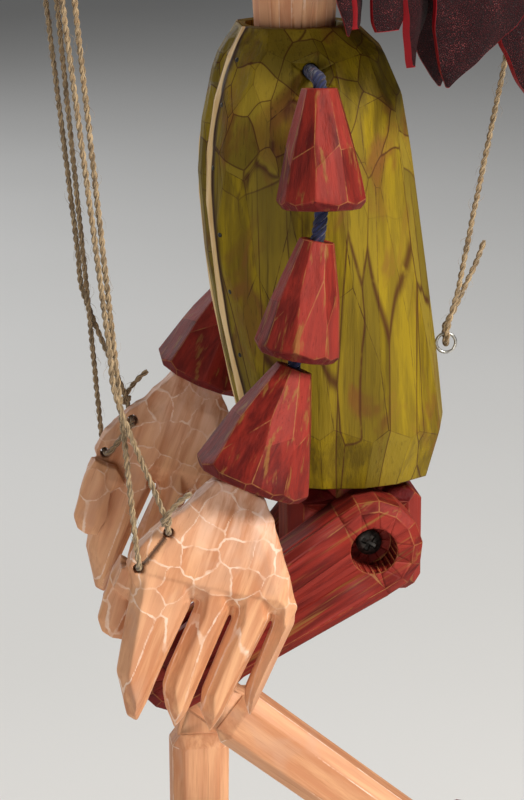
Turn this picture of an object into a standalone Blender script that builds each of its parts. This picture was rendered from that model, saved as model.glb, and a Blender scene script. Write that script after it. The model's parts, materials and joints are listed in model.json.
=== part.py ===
"""A hand-carved clown marionette that hangs by five strings from its wooden control.

Metres, +Z up. The figure faces -Y and its left side is +X. The origin is the middle
of the control's flat top. Pieces of the figure are placed from the bottom of its torso.
"""

import math
import random

import bmesh
import bpy
from mathutils import Matrix, Vector

for old in list(bpy.data.objects):
    bpy.data.objects.remove(old)

# Clearances
GAP = 0.0003
CUT_PAST = 0.004
CARVE_REACH = 0.9
WELD = 0.00004

# Control
CONTROL_ABOVE_TORSO = 0.335
NECK_Y = -0.0072
BAR_THICKNESS = 0.012
BAR_WIDTH = 0.022
BAR_FRONT = 0.094
BAR_BACK = 0.112
BAR_CHAMFER = 0.002
HEAD_BAR_LENGTH = 0.136
HEAD_BAR_WIDTH = 0.016
CROSSBAR_THICKNESS = 0.010
HAND_BAR_LENGTH = 0.066
HAND_BAR_WIDTH = 0.014
HAND_BAR_FORWARD = 0.079
BACK_STRING_FROM_END = 0.013
HEAD_STRING_FROM_END = 0.009
HAND_STRING_FROM_END = 0.011
HAND_STRAND_SPREAD = 0.0035

# Strings: a run longer than the last value stays straight
STRING_RADIUS = 0.0008
STRING_HOLE_RADIUS = 0.0013
KNOT_RISE = 0.0024
STRAIGHT_RUN = 0.024

# Routes of the strings, in millimetres, and of a loop through a screw eye, in ring radii.
# Back and head: along the string from its eye, aside or ahead, and behind.
# Hand: outwards, back and up from the wrist, through the rear hole and back through the front one.
MM = 0.001
RING_ROUTE = ((0.7, 1.55), (0.7, 0.65), (0.0, -0.09), (-0.7, 0.65), (-0.7, 1.55))
BACK_STRING_RUN = ((150, 0.6, 0), (60, 0.8, 0), (30, 1.0, 0), (14, 1.4, 0))
BACK_STRING_TAIL = ((14, -1.5, 0), (22, -1.4, 1.2), (29, -1.3, 2.4))
HEAD_STRING_RUN = ((60, 0.6), (35, 0.8), (20, 1.1), (11, 1.5))
HEAD_STRING_TAIL = ((10, -1.5), (16, -2.2))
HAND_STRING_SHARES = (0, 0.33, 0.66, 0.96, 1)
HAND_STRANDS_MEET = ((3.2, -32.2, 26.2), (0.8, -31.2, 26.2))
HAND_LOOP = (
    (5.6, -20.6, -4.1), (5.0, -19.8, -7.6), (3.0, -19.6, -8.6), (-3.5, -19.6, -8.6),
    (-6.4, -20.3, -9.3), (-7.0, -23.3, -13.0), (-6.4, -26.3, -16.7),
    (-3.5, -27.0, -17.4), (3.0, -27.0, -17.4), (5.0, -27.1, -16.4), (5.6, -27.6, -12.8),
)

# Chisel cuts: how far round and how far up a surface is felt for its slope
FEEL_TURN = 0.02
FEEL_RISE = 0.2

# Torso: height above its bottom, front rim, back and half width of each section
TORSO_SECTIONS = (
    (-0.002, -0.0160, 0.0266, 0.0205),
    (0.009, -0.0198, 0.0309, 0.0240),
    (0.020, -0.0226, 0.0306, 0.0255),
    (0.044, -0.0276, 0.0280, 0.0260),
    (0.071, -0.0307, 0.0241, 0.0260),
    (0.084, -0.0304, 0.0223, 0.0255),
    (0.097, -0.0284, 0.0200, 0.0235),
    (0.108, -0.0250, 0.0152, 0.0195),
    (0.115, -0.0214, 0.0078, 0.0145),
)
TORSO_FACET_ROWS = (
    (0.002, 15, 0.0),
    (0.032, 17, 0.3),
    (0.073, 17, 0.0),
    (0.090, 15, 0.5),
    (0.102, 13, 0.2),
    (0.111, 11, 0.6),
)
TORSO_UNEVENNESS = 0.26
TORSO_SQUARENESS = 2.25
TORSO_MIDDLE_FORWARD = 0.002
RIM_SHARE = 0.95
TORSO_WALL = 0.0055
RIM_LEDGE = 0.0026
NOD_HEIGHT = 0.106
CAVITY_BELOW_NOD = 0.005
CAVITY_TOP = NOD_HEIGHT - CAVITY_BELOW_NOD
CAVITY_STEPS = 8
PANEL_THICKNESS = 0.005
PANEL_SUNK = 0.0008
PANEL_DOME_BELOW = 0.0008
PANEL_DOME_ABOVE = 0.0022
NECK_BORE_RADIUS = 0.0126

# Neck and head
NOD_PIN_RADIUS = 0.0015
NOD_PIN_LENGTH = 0.0282
NECK_BELOW_NOD = 0.004
NECK_BOTTOM = NOD_HEIGHT - NECK_BELOW_NOD
NECK_BOTTOM_RADIUS = 0.0094
NECK_TOP_RADIUS = 0.0114
NECK_SIDES = 10
NECK_CUT_INSET = 0.008
NECK_PEG_RADIUS = 0.007
NECK_PEG_LENGTH = 0.014
HEAD_BOTTOM = 0.134
HEAD_HEIGHT = 0.094
HEAD_HALF_WIDTH = 0.036
HEAD_HALF_DEPTH = 0.041
HEAD_Y = -0.010
HEAD_WIDEST = 0.94
HEAD_CROWN_FULLER = 0.10
HEAD_CHIN_FULLER = 0.12
HEAD_FACET_ROWS = (
    (0.06, 12), (0.18, 14), (0.32, 16), (0.47, 16),
    (0.62, 16), (0.76, 14), (0.88, 12), (0.96, 7),
)
NOSE_RADIUS = 0.0085
NOSE_HEIGHT = 0.176
NOSE_SUNK = 0.0035
EYE_RADIUS = 0.0042
EYE_X = 0.0135
EYE_HEIGHT = 0.190
EYE_SUNK = 0.0016
HEAD_EYE_HEIGHT = 0.203
HEAD_EYE_BACK = 0.0014
HEAD_FEEL = 0.0005
EAR_HEIGHT = 0.180
EAR_LONG = 0.021
EAR_DEEP = 0.011
EAR_FORWARD = 0.0046
EAR_OUT = 0.0055
EAR_SIDES = 9
BALL_SIDES = 14
BALL_RINGS = 8

# Leather locks, from the left ear round the back to the right ear:
# tip distance from the head's axis, tip height, width and twist in degrees
LOCKS = (
    (0.0410, 0.1300, 0.0110, 0),
    (0.0440, 0.1160, 0.0160, 25),
    (0.0500, 0.1030, 0.0200, 40),
    (0.0530, 0.0995, 0.0240, 60),
    (0.0520, 0.1010, 0.0140, 0),
    (0.0580, 0.1000, 0.0220, -55),
    (0.0480, 0.1040, 0.0190, -40),
    (0.0430, 0.1150, 0.0160, -25),
    (0.0410, 0.1260, 0.0110, 0),
)
LOCK_POINT = 0.36
LOCK_BLUNT = 0.05
LOCK_LEAN = 0.8
LOCK_PITCH = 20
LOCK_THICKNESS = 0.0020
LOCKS_BELOW_EYES = 0.021
LOCK_TOP = HEAD_EYE_HEIGHT - LOCKS_BELOW_EYES
LOCK_ON_HEAD = 0.016
LOCK_LEAVES_HEAD = LOCK_TOP - LOCK_ON_HEAD
LOCK_OFF_HEAD = 0.0016
LOCK_STEPS = 12

# Screw eyes
EYE_RING_RADIUS = 0.0026
EYE_WIRE_RADIUS = 0.0005
EYE_RING_STEPS = 18
EYE_WIRE_SIDES = 6
EYE_SHANK = 0.007
BACK_EYE_STEM = 0.0006
HEAD_EYE_STEM = 0.0018
BACK_EYE_HEIGHT = 0.031

# Arms: each sleeve is a carved cone on a cord
CORD_RADIUS = 0.0018
CORD_SIDES = 12
CORD_END_TURNS = (80, 55, 30, 0)
SHOULDER_HEIGHT = 0.1052
SHOULDER_Y = -0.006
SHOULDER_X = 0.036
SHOULDER_CORD_INSIDE = 0.0162
SLEEVE_NAMES = ("upper_sleeve", "middle_sleeve", "cuff")
SLEEVE_LENGTHS = (0.0294, 0.0292, 0.0312)
SLEEVE_TOP_RADII = (0.0039, 0.0039, 0.0040)
SLEEVE_BOTTOM_RADII = (0.0108, 0.0105, 0.0143)
SLEEVE_LINKS = (0.0020, 0.0056, 0.0006)
SLEEVE_SPLAY = (6.0, 2.3, 3.6)
ARM_TILTS = {"left": (0.0, 10.5, 21.5), "right": (-21.3, 32.6, 21.5)}
SLEEVE_SIDES = 9
SLEEVE_CUTS = ((0.30, 0.0), (0.76, 0.12))
SLEEVE_BULGE = 0.10
SLEEVE_HEM = 0.07
SLEEVE_HEM_SIDES = 12
SLEEVE_HEM_SLOPE = 0.75
SLEEVE_SEEDS = {"left": 20, "right": 25}

# Hands: outlines from the wrist, in millimetres, back (+) and up (+)
PALM = (
    (4.5, -3.5), (-8, 0.2), (-14, -2.2), (-20.5, -6.0), (-27.0, -12.2), (-29.8, -17.2), (-28.5, -22.0),
    (-12.4, -26.0), (-2.9, -28.8), (7.1, -31.0), (11.8, -32.0), (12.7, -29.5), (11.5, -24.1), (8.4, -13.8),
    (6.6, -6),
)
FINGERS = (
    ((-28, -19.1), (-31.1, -37), (-32.6, -44.7), (-30.1, -56.5), (-27.6, -58), (-24.7, -52.4),
     (-20.9, -41.8), (-16.9, -32.1), (-13.2, -26.6), (-17, -18)),
    ((-12.2, -27.2), (-15.4, -34.6), (-20.1, -44.4), (-21.2, -48.3), (-20.6, -54.5), (-18.3, -60.4),
     (-14.8, -55.9), (-12.6, -47.8), (-8.9, -36.7), (-5.1, -31.7), (-3.4, -29.2), (-7, -21)),
    ((-2.6, -29.9), (-5.8, -37.2), (-11.3, -50.5), (-11.6, -55.8), (-9.3, -61.6), (-5.6, -56.8),
     (-2.2, -48.2), (1.5, -38.9), (4.4, -34.2), (6.8, -31.5), (3, -24)),
    ((7.4, -32.0), (4.7, -38.5), (-0.4, -50.1), (-0.6, -53.6), (0.8, -58.2), (2.3, -55.4),
     (5.7, -46.4), (10.7, -36.6), (12.1, -34.1), (12.4, -30.8), (11, -25)),
)
KNUCKLES = (
    ((-27.6, -15), (-17.5, -12.5), (-13.4, -18), (-13.4, -26), (-17.6, -33), (-29.6, -31)),
    ((-11.2, -15), (-4.2, -16), (-3.8, -28.5), (-7.2, -33.5), (-13.6, -31.4), (-12.4, -26.6)),
    ((-2.0, -17), (4.8, -18), (6.4, -30.8), (3.0, -35.6), (-3.9, -34), (-2.6, -29)),
    ((7.0, -18), (9.4, -18), (12.2, -29.6), (10.6, -36), (6.4, -35.6), (7.4, -31)),
)
THUMB = (
    (-36.6, -33.5), (-35.6, -36.8), (-33.0, -38.6), (-30.0, -39.4), (-27, -34.1),
    (-25.5, -20.5), (-30.5, -17.2), (-33.4, -22.5),
)
THUMB_ROOT = ((-31, -18.4), (-24.5, -20.2), (-22, -25), (-29, -28), (-33.0, -24))
PALM_HALF_THICKNESS = 0.0056
FINGER_HALF_THICKNESS = 0.0052
THUMB_HALF_THICKNESS = 0.0032
THUMB_INWARD = 0.0088
PALM_EDGE, PALM_SLOPE = 0.50, 0.8
FINGER_EDGE, FINGER_SLOPE = 0.15, 0.5
THUMB_EDGE, THUMB_SLOPE = 0.5, 1.0
THUMB_ROOT_EDGE, THUMB_ROOT_SLOPE = 0.7, 1.0
STRING_HOLES = ((-19.6, -8.6), (-27.0, -17.4))

# Pelvis and legs
WAIST_Y = 0.008
WAIST_HEIGHT = 0.009
WAIST_PIN_RADIUS = 0.0016
WAIST_PIN_LENGTH = 0.041
PELVIS_HALF_WIDTH = 0.0117
PELVIS_TOP = -0.0044
PELVIS_BOTTOM = -0.033
PELVIS_FRONT = -0.010
PELVIS_BACK = 0.0255
PELVIS_CHAMFER = 0.0039
TENON_HALF_WIDTH = 0.0105
TENON_HALF_DEPTH = 0.0075
TENON_TOP = 0.0145
TENON_CHAMFER = 0.002
HIP_Y = 0.0096
HIP_HEIGHT = -0.0165
HIP_SCREW_RADIUS = 0.0019
HIP_SCREW_HEAD_RADIUS = 0.0033
HIP_SCREW_HEAD = 0.0022
HIP_SCREW_HEAD_TOP = 0.8
HIP_SCREW_IN_PELVIS = 0.008
HIP_COUNTERBORE_RADIUS = 0.006
HIP_COUNTERBORE_DEPTH = 0.010
THIGH_LENGTH = 0.060
THIGH_THICKNESS = 0.0165
THIGH_HIP_RADIUS = 0.013
THIGH_KNEE_RADIUS = 0.0095
THIGH_EDGE, THIGH_SLOPE = 0.78, 0.3
THIGH_SLOT_DEPTH = 0.0158
LEG_PIN_RADIUS = 0.0015
PIN_SHY = 0.001
TONGUE_THICKNESS = 0.0072
TONGUE_HALF_WIDTH = 0.0064
TONGUE_EDGE, TONGUE_SLOPE = 0.9, 0.2
TONGUE_ROOT = 0.004
KNEE_SHOULDER = 0.018
KNEE_SHOULDER_CUT = 0.003
SHIN_LENGTH = 0.088
SHIN_HALF_WIDTH = 0.0078
SHIN_THICKNESS = 0.0145
SHIN_TOP_SHARE, SHIN_FOOT_SHARE = 0.72, 0.94
SHIN_EDGE, SHIN_SLOPE = 0.62, 0.45
ANKLE_SHOULDER = 0.012
LEG_ANGLES = {"left": (58.0, -52.0, -45.0), "right": (41.5, 0.0, 0.0)}
SHOE_LENGTH = 0.066
SHOE_HEEL = 0.016
SHOE_HALF_WIDTH = 0.0135
SHOE_HEEL_HALF_WIDTH = 0.0095
SHOE_SOLE = 0.017
SHOE_TOP = 0.0062
SHOE_TOE_TOP = -0.001
SHOE_CUTS = ((0.15, 14, 0.0), (0.55, 14, 0.5), (0.9, 10, 0.0))
SHOE_ROUNDING = 0.75
SHOE_HEEL_FRONT = 0.012
SHOE_HEEL_CHAMFER = 0.005

SIDES = {"left": 1, "right": -1}

# Finishes: colour, roughness, metallic value
FINISHES = {
    "green_stain": ((0.22, 0.20, 0.055), 0.55, 0.0),
    "red_stain": ((0.26, 0.035, 0.02), 0.5, 0.0),
    "bare_wood": ((0.62, 0.42, 0.24), 0.6, 0.0),
    "bar_wood": ((0.50, 0.33, 0.18), 0.6, 0.0),
    "leather": ((0.06, 0.014, 0.014), 0.45, 0.0),
    "jute": ((0.45, 0.32, 0.18), 0.9, 0.0),
    "blue_cord": ((0.025, 0.03, 0.07), 0.85, 0.0),
    "zinc": ((0.55, 0.54, 0.52), 0.35, 1.0),
    "dark_screw": ((0.08, 0.075, 0.07), 0.4, 1.0),
    "red_paint": ((0.50, 0.03, 0.02), 0.4, 0.0),
    "black_bead": ((0.015, 0.014, 0.013), 0.15, 0.0),
}


def finish(name):
    """The material of a finish, made once."""
    material = bpy.data.materials.get(name)
    if material:
        return material
    material = bpy.data.materials.new(name)
    material.use_nodes = True
    shader = material.node_tree.nodes["Principled BSDF"]
    colour, roughness, metallic = FINISHES[name]
    shader.inputs["Base Color"].default_value = (*colour, 1.0)
    shader.inputs["Roughness"].default_value = roughness
    shader.inputs["Metallic"].default_value = metallic
    material.diffuse_color = (*colour, 1.0)
    return material


def empty(name, parent=None, at=(0, 0, 0)):
    """An empty that pieces hang from."""
    made = bpy.data.objects.new(name, None)
    bpy.context.scene.collection.objects.link(made)
    made.parent = parent
    made.location = at
    return made


def piece(name, bm, finish_name=None, parent=None, matrix=Matrix()):
    """An object from a bmesh, with its normals outwards."""
    bmesh.ops.recalc_face_normals(bm, faces=bm.faces[:])
    mesh = bpy.data.meshes.new(name)
    bm.to_mesh(mesh)
    bm.free()
    made = bpy.data.objects.new(name, mesh)
    bpy.context.scene.collection.objects.link(made)
    if finish_name:
        mesh.materials.append(finish(finish_name))
    made.parent = parent
    made.matrix_local = matrix
    return made


def combine(whole, others, operation):
    """Adds or takes away the other pieces for good."""
    for other in others:
        other.parent = whole.parent
        modifier = whole.modifiers.new(other.name, "BOOLEAN")
        modifier.operation = operation
        modifier.solver = "EXACT"
        modifier.object = other
    bpy.context.view_layer.update()
    graph = bpy.context.evaluated_depsgraph_get()
    mesh = bpy.data.meshes.new_from_object(whole.evaluated_get(graph))
    whole.modifiers.clear()
    mesh.name = whole.name
    bm = bmesh.new()
    bm.from_mesh(mesh)
    bmesh.ops.remove_doubles(bm, verts=bm.verts[:], dist=WELD / 2)
    bmesh.ops.dissolve_degenerate(bm, edges=bm.edges[:], dist=WELD / 4)
    bmesh.ops.triangulate(bm, faces=bm.faces[:])
    bm.to_mesh(mesh)
    bm.free()
    if whole.data.materials:
        mesh.materials.clear()
        mesh.materials.append(whole.data.materials[0])
    whole.data = mesh
    for other in others:
        bpy.data.objects.remove(other)
    return whole


def convex(planes):
    """The closed solid behind every (point, outward normal) plane."""
    bm = bmesh.new()
    bmesh.ops.create_cube(bm, size=CARVE_REACH, matrix=Matrix.Translation(planes[0][0]))
    for point, normal in planes:
        geometry = bm.verts[:] + bm.edges[:] + bm.faces[:]
        bmesh.ops.bisect_plane(
            bm, geom=geometry, dist=1e-7, plane_co=point, plane_no=normal, clear_outer=True
        )
        rim = [edge for edge in bm.edges if edge.is_boundary]
        if rim:
            bmesh.ops.holes_fill(bm, edges=rim, sides=0)
    bmesh.ops.remove_doubles(bm, verts=bm.verts[:], dist=WELD)
    bmesh.ops.dissolve_degenerate(bm, edges=bm.edges[:], dist=WELD / 4)
    return bm


def box_planes(low, high, chamfer=0.0):
    """The planes of a box, with its edges taken off if a chamfer is given."""
    low, high = Vector(low), Vector(high)
    planes = []
    axes = [Vector((1, 0, 0)), Vector((0, 1, 0)), Vector((0, 0, 1))]
    for axis in axes:
        planes += [(high, axis), (low, -axis)]
    if chamfer:
        middle, half = (low + high) / 2, (high - low) / 2
        for first in range(3):
            second = (first + 1) % 3
            for one in (1, -1):
                for two in (1, -1):
                    normal = axes[first] * one + axes[second] * two
                    corner = axes[first] * one * half[first] + axes[second] * two * half[second]
                    planes.append((middle + corner - normal * chamfer / 2, normal))
    return planes


def turned(start, end, start_radius, end_radius=None, sides=16):
    """A closed round or tapered bar between two points."""
    start, end = Vector(start), Vector(end)
    along = end - start
    bm = bmesh.new()
    bmesh.ops.create_cone(
        bm, cap_ends=True, segments=sides, radius1=start_radius,
        radius2=start_radius if end_radius is None else end_radius, depth=along.length,
    )
    turn = Vector((0, 0, 1)).rotation_difference(along).to_matrix().to_4x4()
    bmesh.ops.transform(bm, matrix=Matrix.Translation((start + end) / 2) @ turn, verts=bm.verts[:])
    return bm


def cross_pin(name, half_length, radius, parent, matrix):
    """A round wooden pin across a joint."""
    bm = turned((-half_length, 0, 0), (half_length, 0, 0), radius, sides=12)
    return piece(name, bm, "bare_wood", parent, matrix)


def cross_hole(x_from, x_to, y, z, radius, sides=12):
    """The cutter of a round hole across the figure."""
    return turned((x_from, y, z), (x_to, y, z), radius, sides=sides)


def ball(centre, radius, sides=BALL_SIDES, rings=BALL_RINGS):
    """A faceted ball."""
    bm = bmesh.new()
    bmesh.ops.create_uvsphere(
        bm, u_segments=sides, v_segments=rings, radius=radius, matrix=Matrix.Translation(centre)
    )
    return bm


def lofted(rings):
    """A closed solid through rings of equally many points."""
    bm = bmesh.new()
    loops = [[bm.verts.new(point) for point in ring] for ring in rings]
    for lower, upper in zip(loops, loops[1:]):
        for index in range(len(lower)):
            following = (index + 1) % len(lower)
            bm.faces.new((lower[index], lower[following], upper[following], upper[index]))
    bm.faces.new(loops[0][::-1])
    bm.faces.new(loops[-1])
    return bm


def between(table, height):
    """The row of a table of sections at a height, with straight runs between its rows."""
    for low, high in zip(table, table[1:]):
        if height <= high[0] or high is table[-1]:
            share = (height - low[0]) / (high[0] - low[0])
            return [a + (b - a) * share for a, b in zip(low, high)]


def facet_planes(surface, rows, seed, unevenness=0.16):
    """Planes that lie on a round surface, in rows of chisel cuts."""
    chance = random.Random(seed)
    planes = []
    heights = [row[0] for row in rows]
    for height, count, phase in rows:
        spacing = min(abs(height - other) for other in heights if other != height)
        for cut in range(count):
            turn = math.tau * (cut + phase + chance.uniform(-unevenness, unevenness)) / count
            level = height + spacing * chance.uniform(-unevenness, unevenness)
            point = surface(turn, level)
            step = spacing * FEEL_RISE
            along = surface(turn + FEEL_TURN, level) - surface(turn - FEEL_TURN, level)
            rise = surface(turn, level + step) - surface(turn, level - step)
            planes.append((point, along.cross(rise).normalized()))
    return planes


def slab_planes(outline, half_thickness, edge_half_thickness, slope):
    """The planes of a flat carved piece: an outline in Y and Z, its edges sloped off to both faces."""
    points = hull(outline)
    planes = [
        (Vector((half_thickness, *points[0])), Vector((1, 0, 0))),
        (Vector((-half_thickness, *points[0])), Vector((-1, 0, 0))),
    ]
    rise = half_thickness - edge_half_thickness
    for (y0, z0), (y1, z1) in zip(points, points[1:] + points[:1]):
        outward = Vector((0, z1 - z0, y0 - y1)).normalized()
        planes.append((Vector((0, y0, z0)), outward))
        for side in (1, -1):
            corner = Vector((side * edge_half_thickness, y0, z0))
            planes.append((corner, (outward * rise + Vector((side * slope, 0, 0))).normalized()))
    return planes


def hull(outline):
    """The convex outline round some points, counterclockwise in Y and Z."""
    ordered = sorted(outline)
    halves = []
    for run in (ordered, ordered[::-1]):
        half = []
        for point in run:
            while len(half) > 1 and turns_right(half[-2], half[-1], point):
                half.pop()
            half.append(point)
        halves += half[:-1]
    return halves


def turns_right(first, second, third):
    """Whether a path of three points doesn't turn left."""
    return (second[0] - first[0]) * (third[1] - first[1]) <= (second[1] - first[1]) * (third[0] - first[0])


def rounded_bar(first_radius, second_radius, length, steps=7):
    """The outline round a circle at the start and a smaller one lower down."""
    outline = []
    for centre, radius in ((0.0, first_radius), (-length, second_radius)):
        for step in range(steps * 2):
            turn = math.tau * (step + 0.5) / (steps * 2)
            outline.append((radius * math.cos(turn), centre + radius * math.sin(turn)))
    return outline


def string(name, route, parent=None, samples=4):
    """A string: a tube along a smooth curve through its route's points, in the control's frame."""
    points = [Vector(point) for point in route]
    smooth = []
    for index in range(len(points) - 1):
        before = points[max(index - 1, 0)]
        start, end = points[index], points[index + 1]
        after = points[min(index + 2, len(points) - 1)]
        count = 1 if (end - start).length > STRAIGHT_RUN else samples
        for step in range(count):
            smooth.append(flowing(before, start, end, after, step / count))
    smooth.append(points[-1])
    curve = bpy.data.curves.new(name, "CURVE")
    curve.dimensions = "3D"
    curve.bevel_depth = STRING_RADIUS
    curve.bevel_resolution = 2
    curve.use_fill_caps = True
    spline = curve.splines.new("POLY")
    spline.points.add(len(smooth) - 1)
    for spot, point in zip(spline.points, smooth):
        spot.co = (*point, 1.0)
    curve.materials.append(finish("jute"))
    made = bpy.data.objects.new(name, curve)
    bpy.context.scene.collection.objects.link(made)
    made.parent = parent
    return made


def flowing(before, start, end, after, share):
    """A point of a smooth curve from start to end, eased in from the run before and out to the one after."""
    into = (end - before).normalized() * (end - start).length
    out = (after - start).normalized() * (end - start).length
    square, cube = share * share, share ** 3
    return (
        start * (2 * cube - 3 * square + 1) + into * (cube - 2 * square + share)
        + end * (3 * square - 2 * cube) + out * (cube - square)
    )


control = empty("control")
figure = empty("figure", control, (0, -NECK_Y, -CONTROL_ABOVE_TORSO))


def in_figure(x, y, z):
    """A place given from the torso's bottom, in the control's frame."""
    return Vector((x, y - NECK_Y, z - CONTROL_ABOVE_TORSO))


# Control bars
CROSSBAR_TOP = -BAR_THICKNESS - GAP
CROSSBAR_BOTTOM = CROSSBAR_TOP - CROSSBAR_THICKNESS
HEAD_STRING_X = HEAD_BAR_LENGTH / 2 - HEAD_STRING_FROM_END
HAND_STRING_X = HAND_BAR_LENGTH / 2 - HAND_STRING_FROM_END
BACK_STRING_Y = BAR_BACK - BACK_STRING_FROM_END


def bar(name, low, high, holes):
    """A chamfered bar with its string holes."""
    made = piece(name, convex(box_planes(low, high, BAR_CHAMFER)), "bar_wood", control)
    drills = []
    for x, y in holes:
        drill = turned((x, y, low[2] - GAP), (x, y, high[2] + GAP), STRING_HOLE_RADIUS, sides=12)
        drills.append(piece("drill", drill))
    return combine(made, drills, "DIFFERENCE")


bar(
    "control_main_bar", (-BAR_WIDTH / 2, -BAR_FRONT, -BAR_THICKNESS), (BAR_WIDTH / 2, BAR_BACK, 0),
    [(0, BACK_STRING_Y)],
)
bar(
    "control_head_bar", (-HEAD_BAR_LENGTH / 2, -HEAD_BAR_WIDTH / 2, CROSSBAR_BOTTOM),
    (HEAD_BAR_LENGTH / 2, HEAD_BAR_WIDTH / 2, CROSSBAR_TOP), [(HEAD_STRING_X, 0), (-HEAD_STRING_X, 0)],
)
bar(
    "control_hand_bar", (-HAND_BAR_LENGTH / 2, -HAND_BAR_FORWARD - HAND_BAR_WIDTH / 2, CROSSBAR_BOTTOM),
    (HAND_BAR_LENGTH / 2, -HAND_BAR_FORWARD + HAND_BAR_WIDTH / 2, CROSSBAR_TOP),
    [
        (side * HAND_STRING_X, -HAND_BAR_FORWARD + spread)
        for side in SIDES.values() for spread in (HAND_STRAND_SPREAD, -HAND_STRAND_SPREAD)
    ],
)


# Torso
TORSO_BOTTOM = TORSO_SECTIONS[0][0]
TORSO_TOP = TORSO_SECTIONS[-1][0]


def torso_section(height):
    """Middle, depth to the back, reach to the front and half width of the torso at a height."""
    _, rim, back, half_width = between(TORSO_SECTIONS, height)
    middle = (rim + back) / 2 - TORSO_MIDDLE_FORWARD
    return middle, back - middle, (middle - rim) / RIM_SHARE, half_width


def torso_surface(turn, height):
    """A point of the torso before its front is cut off: turn 0 is its left side, a quarter turn its back."""
    middle, back, front, half_width = torso_section(height)
    power = 2 / TORSO_SQUARENESS
    cosine, sine = math.cos(turn), math.sin(turn)
    x = half_width * math.copysign(abs(cosine) ** power, cosine)
    y = (back if sine > 0 else front) * math.copysign(abs(sine) ** power, sine)
    return Vector((x, middle + y, height))


def rim_half_width(height):
    """Half the torso's width where its front is cut off."""
    half_width = torso_section(height)[3]
    return half_width * (1 - RIM_SHARE ** TORSO_SQUARENESS) ** (1 / TORSO_SQUARENESS)


def rim_planes():
    """The flat front, in one run between each two sections."""
    planes = []
    for low, high in zip(TORSO_SECTIONS, TORSO_SECTIONS[1:]):
        forward = Vector((0, low[0] - high[0], high[1] - low[1])).normalized()
        planes.append((Vector((0, low[1], low[0])), forward))
    return planes


def cavity_ring(height):
    """The hollow of the torso at a height, open to the front."""
    level = max(height, TORSO_BOTTOM)
    middle, back, _, half_width = torso_section(level)
    _, rim, _, _ = between(TORSO_SECTIONS, level)
    opening = rim_half_width(level) - RIM_LEDGE
    ring = []
    for step in range(CAVITY_STEPS + 1):
        turn = math.pi * step / CAVITY_STEPS
        x = (half_width - TORSO_WALL) * math.cos(turn)
        ring.append((x, middle + (back - TORSO_WALL) * math.sin(turn), height))
    inner, outer = rim + PANEL_THICKNESS, rim - TORSO_WALL
    for side, y in ((-1, inner), (-1, outer), (1, outer), (1, inner)):
        ring.append((side * opening, y, height))
    return ring


CAVITY_LEVELS = [TORSO_BOTTOM - GAP * 4] + [
    (low[0] + high[0]) / 2
    for low, high in zip(TORSO_SECTIONS, TORSO_SECTIONS[1:]) if high[0] < CAVITY_TOP
] + [CAVITY_TOP]
shell_planes = facet_planes(torso_surface, TORSO_FACET_ROWS, 4, TORSO_UNEVENNESS) + rim_planes()
shell_planes += [
    (Vector((0, 0, TORSO_BOTTOM)), Vector((0, 0, -1))),
    (Vector((0, 0, TORSO_TOP)), Vector((0, 0, 1))),
]
shell = piece("torso_shell", convex(shell_planes), "green_stain", figure)
nod_seat = NOD_PIN_LENGTH / 2 + GAP
waist_seat = WAIST_PIN_LENGTH / 2 + GAP
back_eye_y = torso_surface(math.pi / 2, BACK_EYE_HEIGHT).y
shell_cuts = [
    lofted([cavity_ring(level) for level in CAVITY_LEVELS]),
    turned((0, NECK_Y, CAVITY_TOP - CUT_PAST), (0, NECK_Y, TORSO_TOP + CUT_PAST), NECK_BORE_RADIUS),
    cross_hole(-nod_seat, nod_seat, NECK_Y, NOD_HEIGHT, NOD_PIN_RADIUS + GAP),
    cross_hole(-waist_seat, waist_seat, WAIST_Y, WAIST_HEIGHT, WAIST_PIN_RADIUS + GAP),
    turned(
        (0, back_eye_y - EYE_SHANK - GAP, BACK_EYE_HEIGHT), (0, back_eye_y + CUT_PAST, BACK_EYE_HEIGHT),
        EYE_WIRE_RADIUS + GAP, sides=8,
    ),
]
for side in SIDES.values():
    inner, outer = side * (SHOULDER_CORD_INSIDE - GAP), side * SHOULDER_X
    shell_cuts.append(cross_hole(inner, outer, SHOULDER_Y, SHOULDER_HEIGHT, CORD_RADIUS + GAP))
combine(shell, [piece("shell_cut", cut) for cut in shell_cuts], "DIFFERENCE")


def panel_ring(height):
    """The front panel at a height: a thin board, more domed at the chest than below."""
    _, rim, _, _ = between(TORSO_SECTIONS, height)
    half = rim_half_width(height) - RIM_LEDGE - GAP
    front, back = rim + PANEL_SUNK, rim + PANEL_THICKNESS - GAP
    share = (height - TORSO_BOTTOM) / (CAVITY_TOP - TORSO_BOTTOM)
    crown = front - PANEL_DOME_BELOW - (PANEL_DOME_ABOVE - PANEL_DOME_BELOW) * share
    return [
        (half, back, height), (half, front, height), (half / 2, crown, height),
        (-half / 2, crown, height), (-half, front, height), (-half, back, height),
    ]


panel_levels = [TORSO_BOTTOM + GAP] + CAVITY_LEVELS[1:-1] + [CAVITY_TOP - GAP]
piece("torso_front_panel", lofted([panel_ring(level) for level in panel_levels]), "green_stain", figure)
at_waist = Matrix.Translation((0, WAIST_Y, WAIST_HEIGHT))
at_nod = Matrix.Translation((0, NECK_Y, NOD_HEIGHT))
cross_pin("waist_pin", WAIST_PIN_LENGTH / 2, WAIST_PIN_RADIUS, figure, at_waist)
cross_pin("neck_pin", NOD_PIN_LENGTH / 2, NOD_PIN_RADIUS, figure, at_nod)


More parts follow.
